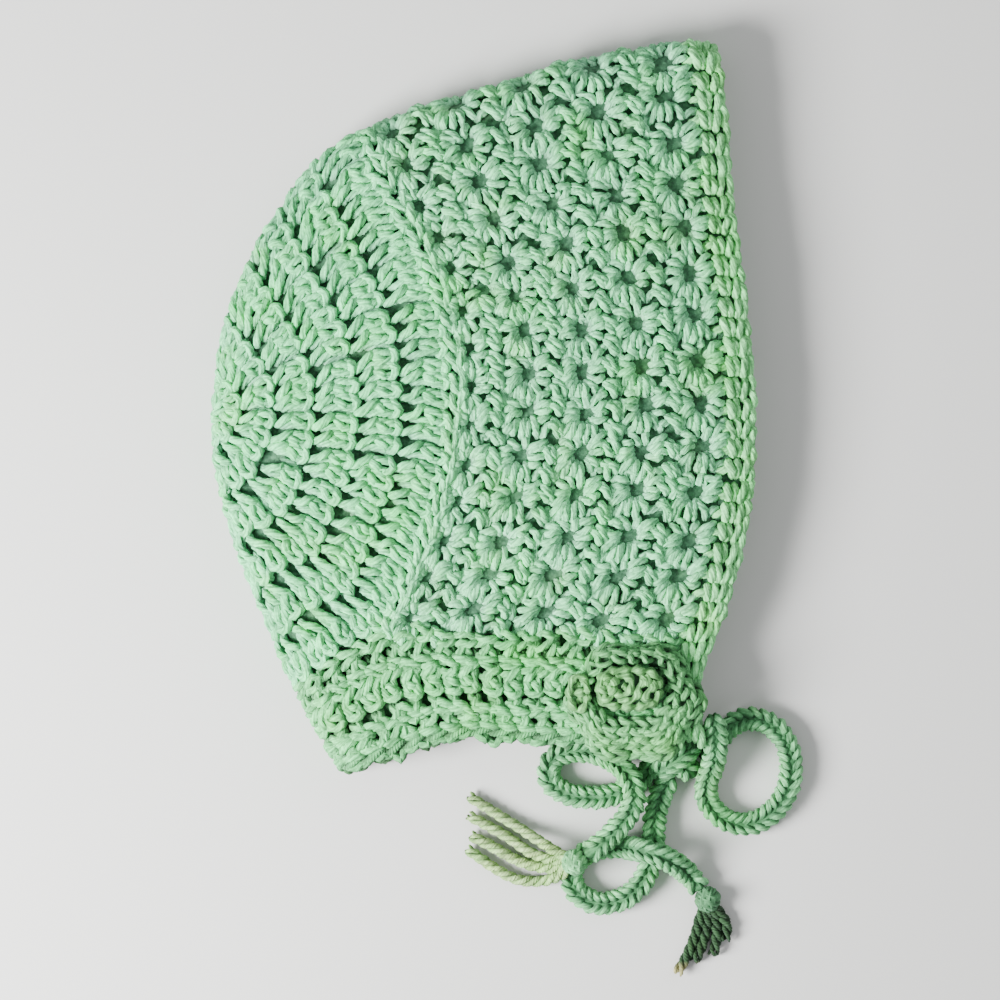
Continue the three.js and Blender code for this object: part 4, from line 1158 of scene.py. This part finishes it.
def feed(tree, socket, value):
    """Links a socket to another one, or sets its own value"""
    if isinstance(value, bpy.types.NodeSocket):
        tree.links.new(value, socket)
    else:
        socket.default_value = value


def node(tree, kind, *values, **named):
    """A shader node with values for its first sockets, or for those with a name"""
    made = tree.nodes.new(kind)
    for key, value in [*enumerate(values), *named.items()]:
        feed(tree, made.inputs[key], value)
    return made


def maths(tree, operation, one, other=0.5):
    made = node(tree, "ShaderNodeMath", one, other)
    made.operation = operation
    return made.outputs[0]


def attribute(tree, name):
    made = tree.nodes.new("ShaderNodeAttribute")
    made.attribute_name = name
    return made.outputs["Fac"]


def ramp(tree, factor, stops):
    made = node(tree, "ShaderNodeValToRGB", factor)
    elements = made.color_ramp.elements
    while len(elements) < len(stops):
        elements.new(0.5)
    for element, (position, colour) in zip(elements, stops):
        element.position = position
        element.color = (*colour, 1)
    return made.outputs[0]


def to_white(tree, factor, edges, darkest=0):
    """A ramp from a grey to white between two values"""
    return ramp(tree, factor, ((edges[0], (darkest,) * 3), (edges[1], (1, 1, 1))))


def mix(tree, blend, factor, one, other):
    made = tree.nodes.new("ShaderNodeMix")
    made.data_type = "RGBA"
    made.blend_type = blend
    for place, value in ((0, factor), (6, one), (7, other)):
        feed(tree, made.inputs[place], value)
    return made.outputs[2]


def strand_coordinates(tree):
    """The share of the way round a strand, and coordinates with no seam: round it on a circle, and along"""
    uv = tree.nodes.new("ShaderNodeUVMap")
    uv.uv_map = "along"
    parts = node(tree, "ShaderNodeSeparateXYZ", uv.outputs[0])
    angle = maths(tree, "MULTIPLY", parts.outputs[1], 2 * math.pi)
    circle = maths(tree, "COSINE", angle), maths(tree, "SINE", angle)
    return angle, node(tree, "ShaderNodeCombineXYZ", *circle, parts.outputs[0]).outputs[0]


def noise(tree, coordinates, scale, detail=2.0):
    return node(tree, "ShaderNodeTexNoise", Vector=coordinates, Scale=scale, Detail=detail).outputs[0]


def patched(tree, place, colour):
    """Broad patches of a slightly different dye"""
    for scale, patch in PATCHES:
        share = to_white(tree, noise(tree, place, scale), PATCH_EDGES)
        colour = mix(tree, "MULTIPLY", share, colour, (*patch, 1))
    return colour


def with_pale_tip(tree, place, colour, tip):
    """A paler tip colour past TIP_START, where the painted shadow ends"""
    parts = node(tree, "ShaderNodeSeparateXYZ", place)
    beyond = maths(tree, "MULTIPLY", maths(tree, "SUBTRACT", TIP_START, parts.outputs[1]), TIP_SHARPNESS)
    return mix(tree, "MIX", to_white(tree, beyond, (0.0, 1.0)), colour, (*tip, 1))


def fibred(tree, shade):
    """Fibres along a strand, its shade with the grooves between its plies, and its relief"""
    angle, round_strand = strand_coordinates(tree)
    stretched = node(tree, "ShaderNodeMapping", round_strand, Scale=FIBRE_SCALE)
    fibres = noise(tree, stretched.outputs[0], 1.0, detail=3.0)
    ply = maths(tree, "COSINE", maths(tree, "MULTIPLY", angle, PLIES))
    groove = maths(tree, "ADD", maths(tree, "MULTIPLY", ply, PLY_SHADE[0]), PLY_SHADE[1])
    relief = maths(tree, "ADD", fibres, maths(tree, "MULTIPLY", ply, PLY_RELIEF))
    return fibres, maths(tree, "MULTIPLY", shade, groove), relief


def principled(material):
    material.use_nodes = True
    return material.node_tree.nodes["Principled BSDF"]


def yarn_material(name, tones, strands=True, tip=None):
    """Plied yarn: painted shade where it lies deep, a painted highlight where it stands out, with fibres
    along its plies
    """
    material = bpy.data.materials.new(name)
    shader = principled(material)
    tree = material.node_tree
    for socket, value in YARN_SURFACE.items():
        shader.inputs[socket].default_value = value
    place = tree.nodes.new("ShaderNodeTexCoord").outputs["Object"]
    # Painted shade and highlight: the colour runs from dark to light with the yarn's height over the fabric
    depth = maths(tree, "ADD", attribute(tree, "stand"), DEPTH_RANGE[0])
    depth = maths(tree, "DIVIDE", depth, DEPTH_RANGE[1])
    colour = patched(tree, place, ramp(tree, depth, tuple(zip(DEPTH_STOPS, tones))))
    if tip:
        colour = with_pale_tip(tree, place, colour, tip)
    shade = maths(tree, "ADD", maths(tree, "MULTIPLY", attribute(tree, "tone"), TONE_SHARE), 1.0)
    if strands:
        fibres, shade, relief = fibred(tree, shade)
    else:
        fibres = relief = noise(tree, place, SHELL_GRAIN, detail=3.0)
    colour = mix(tree, "MULTIPLY", 1.0, colour, to_white(tree, fibres, FIBRE_EDGES, FIBRE_SHADE))
    for scale, darkest in MOTTLES:
        mottle = to_white(tree, noise(tree, place, scale, detail=4.0), MOTTLE_EDGES, darkest)
        colour = mix(tree, "MULTIPLY", 1.0, colour, mottle)
    shaded = tree.nodes.new("ShaderNodeVectorMath")
    shaded.operation = "SCALE"
    feed(tree, shaded.inputs[0], colour)
    feed(tree, shaded.inputs["Scale"], shade)
    feed(tree, shader.inputs["Base Color"], shaded.outputs[0])
    bump = node(tree, "ShaderNodeBump", Strength=BUMP[0], Distance=BUMP[1], Height=relief)
    feed(tree, shader.inputs["Normal"], bump.outputs[0])
    return material


def floor_material():
    material = bpy.data.materials.new("floor")
    shader = principled(material)
    shader.inputs["Base Color"].default_value = FLOOR_COLOUR
    shader.inputs["Roughness"].default_value = FLOOR_ROUGHNESS
    return material


def in_scene(name, data):
    obj = bpy.data.objects.new(name, data)
    bpy.context.scene.collection.objects.link(obj)
    return obj


def area_light(name, place, target, size, energy):
    light = bpy.data.lights.new(name, "AREA")
    light.size = size
    light.energy = energy
    obj = in_scene(name, light)
    obj.location = place
    obj.rotation_euler = (Vector(target) - Vector(place)).to_track_quat("-Z", "Y").to_euler()


def studio():
    """A plain pale floor, soft light from the left, and the camera straight above"""
    bpy.ops.mesh.primitive_plane_add(size=3.0, location=(0, 0, 0))
    floor = bpy.context.object
    floor.name = "floor"
    floor.data.materials.append(floor_material())
    area_light("key", *KEY_LIGHT)
    area_light("fill", *FILL_LIGHT)
    world = bpy.data.worlds.new("studio")
    world.use_nodes = True
    for socket, value in zip(world.node_tree.nodes["Background"].inputs, ROOM_LIGHT):
        socket.default_value = value
    bpy.context.scene.world = world
    camera = bpy.data.cameras.new("camera")
    camera.sensor_width = SENSOR / MM
    camera.lens = SENSOR / MM * CAMERA_HEIGHT / VIEW_WIDTH
    camera.clip_start = 0.01
    obj = in_scene("camera", camera)
    obj.location = (*VIEW_CENTRE, CAMERA_HEIGHT)
    bpy.context.scene.camera = obj


studio()

# Looks of the yarn
YARN_SURFACE = {
    "Roughness": 0.85, "Sheen Weight": 0.1, "Sheen Roughness": 0.5, "Sheen Tint": (0.7, 1.0, 0.8, 1),
    "Specular IOR Level": 0.2,
}
DEPTH_RANGE = (0.9, 4.0)     # mm below the fabric's middle where the deepest painted shade starts, and mm of range
DEPTH_STOPS = (0.0, 0.5, 0.95)
TONE_SHARE = 0.16            # how much lighter or darker a strand's own tone makes it
PATCHES = ((60.0, (0.78, 0.98, 0.74)), (90.0, (1.0, 0.98, 0.80)))     # scale, dye
PATCH_EDGES = (0.52, 0.72)   # values of the noise between which a patch fades in
MOTTLES = ((430.0, 0.72), (1300.0, 0.74))                             # scale, darkest
MOTTLE_EDGES = (0.36, 0.58)
FIBRE_SCALE = (2.1, 2.1, 2.4)      # how fine they are: on the circle round a strand, and along it
FIBRE_EDGES = (0.34, 0.60)
FIBRE_SHADE = 0.52           # darkest between the fibres
SHELL_GRAIN = 900.0          # scale of the grain on what has no strands
PLIES = 4.0                  # that show round a strand
PLY_SHADE = (0.09, 0.96)     # their grooves: depth of the shade, and its mean
PLY_RELIEF = 0.2
BUMP = (0.9, 0.0004)         # strength, distance
TIP_SHARPNESS = 400.0        # of the change from the painted shadow to the paler tip, a metre
# Colours where the yarn lies deep, halfway up and where it stands out: painted shade low down, painted
# highlight high up
TONES = {
    "mint_yarn": ((0.32, 0.62, 0.42), (0.24, 0.70, 0.39), (0.21, 1.0, 0.38)),
    "star_yarn": ((0.32, 0.62, 0.42), (0.31, 0.84, 0.47), (0.26, 1.0, 0.42)),
    "neck_yarn": ((0.07, 0.18, 0.07), (0.09, 0.28, 0.11), (0.21, 0.84, 0.29)),
    "pale_yarn": ((0.26, 0.58, 0.29), (0.30, 0.90, 0.34), (0.32, 1.0, 0.38)),
    "button_yarn": ((0.02, 0.07, 0.02), (0.08, 0.25, 0.07), (0.34, 0.94, 0.30)),
    "flower_yarn": ((0.02, 0.08, 0.02), (0.07, 0.24, 0.08), (0.28, 0.92, 0.32)),
    "tie_yarn": ((0.03, 0.12, 0.04), (0.11, 0.38, 0.15), (0.36, 1.0, 0.42)),
    # Tie yarn painted dark as if in shadow, for the lower tassel's head
    "painted_shadow_tie_yarn": ((0.02, 0.08, 0.03), (0.06, 0.20, 0.08), (0.15, 0.42, 0.19)),
    "end_yarn": ((0.14, 0.30, 0.08), (0.36, 0.60, 0.20), (0.66, 0.95, 0.40)),
}
# The lower tassel's yarn, painted dark as if it lay in shadow
SHADED_TONES = ((0.01, 0.03, 0.01), (0.02, 0.06, 0.02), (0.05, 0.13, 0.05))
TIP_COLOUR = (0.60, 0.56, 0.24)
DEPTH_TONES = {              # the fabric under the stitches, which has no strands of its own, darkened as painted shade in the gaps between stitches
    "fabric_depth": ((0.08, 0.22, 0.12), (0.14, 0.40, 0.22), (0.3, 0.6, 0.4)),
    "neck_depth": ((0.04, 0.12, 0.05), (0.05, 0.2, 0.1), (0.2, 0.4, 0.2)),
}
LOOKS = {name: yarn_material(name, tones) for name, tones in TONES.items()}
SHADED = yarn_material("shaded_end_yarn", SHADED_TONES, tip=TIP_COLOUR)
# The fabric under the stitches, in dark colours that paint the shade in the gaps between them
BASE, DARK = (yarn_material(name, tones, strands=False) for name, tones in DEPTH_TONES.items())

# Ties. The last number of a call is the seed of its random draws.
tassel_left, head_left = tassel(
    "tassel_left_yarn", TIE_TAIL_LEFT, TASSEL_LEFT, LOOKS["end_yarn"], LOOKS["tie_yarn"], 61)
tassel_lower, head_lower = tassel(
    "tassel_lower_yarn", TIE_TAIL_LOWER, TASSEL_LOWER, SHADED, LOOKS["painted_shadow_tie_yarn"], 63)
loop_right, loop_path = cord_stitches("tie_loop_right_cord", TIE_LOOP_RIGHT, 51)
tail_left, left_path = cord_stitches("tie_tail_left_cord", TIE_TAIL_LEFT, 52)
tail_lower, lower_path = cord_stitches("tie_tail_lower_cord", TIE_TAIL_LOWER, 53)
knot_yarn = Yarn(54)
for wrap in KNOT_WRAPS:
    cord_legs(knot_yarn, wrap)
knot = knot_yarn.build("knot_wraps", LOOKS["tie_yarn"])

# Fabric. The numbers of a shell are its rows and columns, and its outer and inner height in mm.
# The number of a Yarn is the seed of its random draws.
crown_body = shell("crown_fabric", crown, 40, 150, BASE, -0.3, -1.3)
crown_top = crown_stitches("crown_stitches_top", 0, Yarn(11))
crown_under = crown_stitches("crown_stitches_under", 1, Yarn(12, UNDER_SIDES))
star_body = shell("star_fabric", star, 34, 140, BASE, -0.2, -1.3)
star_top = star_stitches("star_stitches_top", 1, Yarn(21))
star_under = star_stitches("star_stitches_under", -1, Yarn(22, UNDER_SIDES))
neck_body = shell("neck_fabric", neck, 14, 110, DARK, -0.4, -1.3)
neck_top_side = neck_stitches("neck_stitches_top", 1, Yarn(31))
neck_under = neck_stitches("neck_stitches_under", -1, Yarn(32, UNDER_SIDES))
edging_body = shell("edging_fabric", edging, 5, 160, BASE, 0.1, -1.2)
edging_top = edging_stitches("edging_stitches_top", 1, Yarn(41))
edging_under = edging_stitches("edging_stitches_under", -1, Yarn(42, UNDER_SIDES))
lips = Yarn(43)
lip(lips, edging, EDGING_WIDTH, LIP_STITCHES[0], YARN)
edging_lip = lips.build("edging_lip", LOOKS["pale_yarn"])
lips = Yarn(44)
lip(lips, neck, NECK_WIDTH, LIP_STITCHES[1], YARN)
chain_places = np.full(NECK_CHAIN_STEPS, NECK_CHAIN_PLACE[0])
rope_on(lips, neck, chain_places, np.linspace(-1, 1, NECK_CHAIN_STEPS), NECK_CHAIN_PLACE[1], NECK_CHAIN_PITCH)
neck_lip = lips.build("neck_lip", LOOKS["neck_yarn"])

# Flower
flower = flower_surface(20, 73)
button = button_surface(10, 61)
flower_body = shell("flower_fabric", flower, 12, 60, DARK, 0.2, -1.0)
petals = flower_stitches("flower_petals", Yarn(71))
button_body = shell("flower_button_fabric", button, 6, 36, DARK, 0.5, -1.6)
button_top = button_stitches("flower_button", Yarn(72))

PIECES = {
    "yarn_fabric": [crown_body, crown_top, crown_under, star_body, star_top, star_under,
                    neck_body, neck_top_side, neck_under, neck_lip],
    "yarn_edging": [edging_body, edging_top, edging_under, edging_lip],
    "yarn_flower": [flower_body, petals, button_body, button_top],
    "yarn_tie": [knot, loop_right, tail_left, tail_lower, head_left, head_lower],
    "yarn_end": [tassel_left, tassel_lower],
}
for slot_name, pieces in PIECES.items():
    for piece in pieces:
        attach(piece, BODY)

for piece, node_name in (
    (crown_body, "crown"), (star_body, "star_sides"), (neck_body, "neck_band"),
    (edging_body, "front_edging"), (petals, "flower"), (knot, "bow_knot"),
    (loop_right, "tie_loop_right"), (tail_left, "tie_tail_left"), (tail_lower, "tie_tail_lower"),
    (tassel_left, "tassel_left"), (tassel_lower, "tassel_lower"),
):
    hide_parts(node_name)
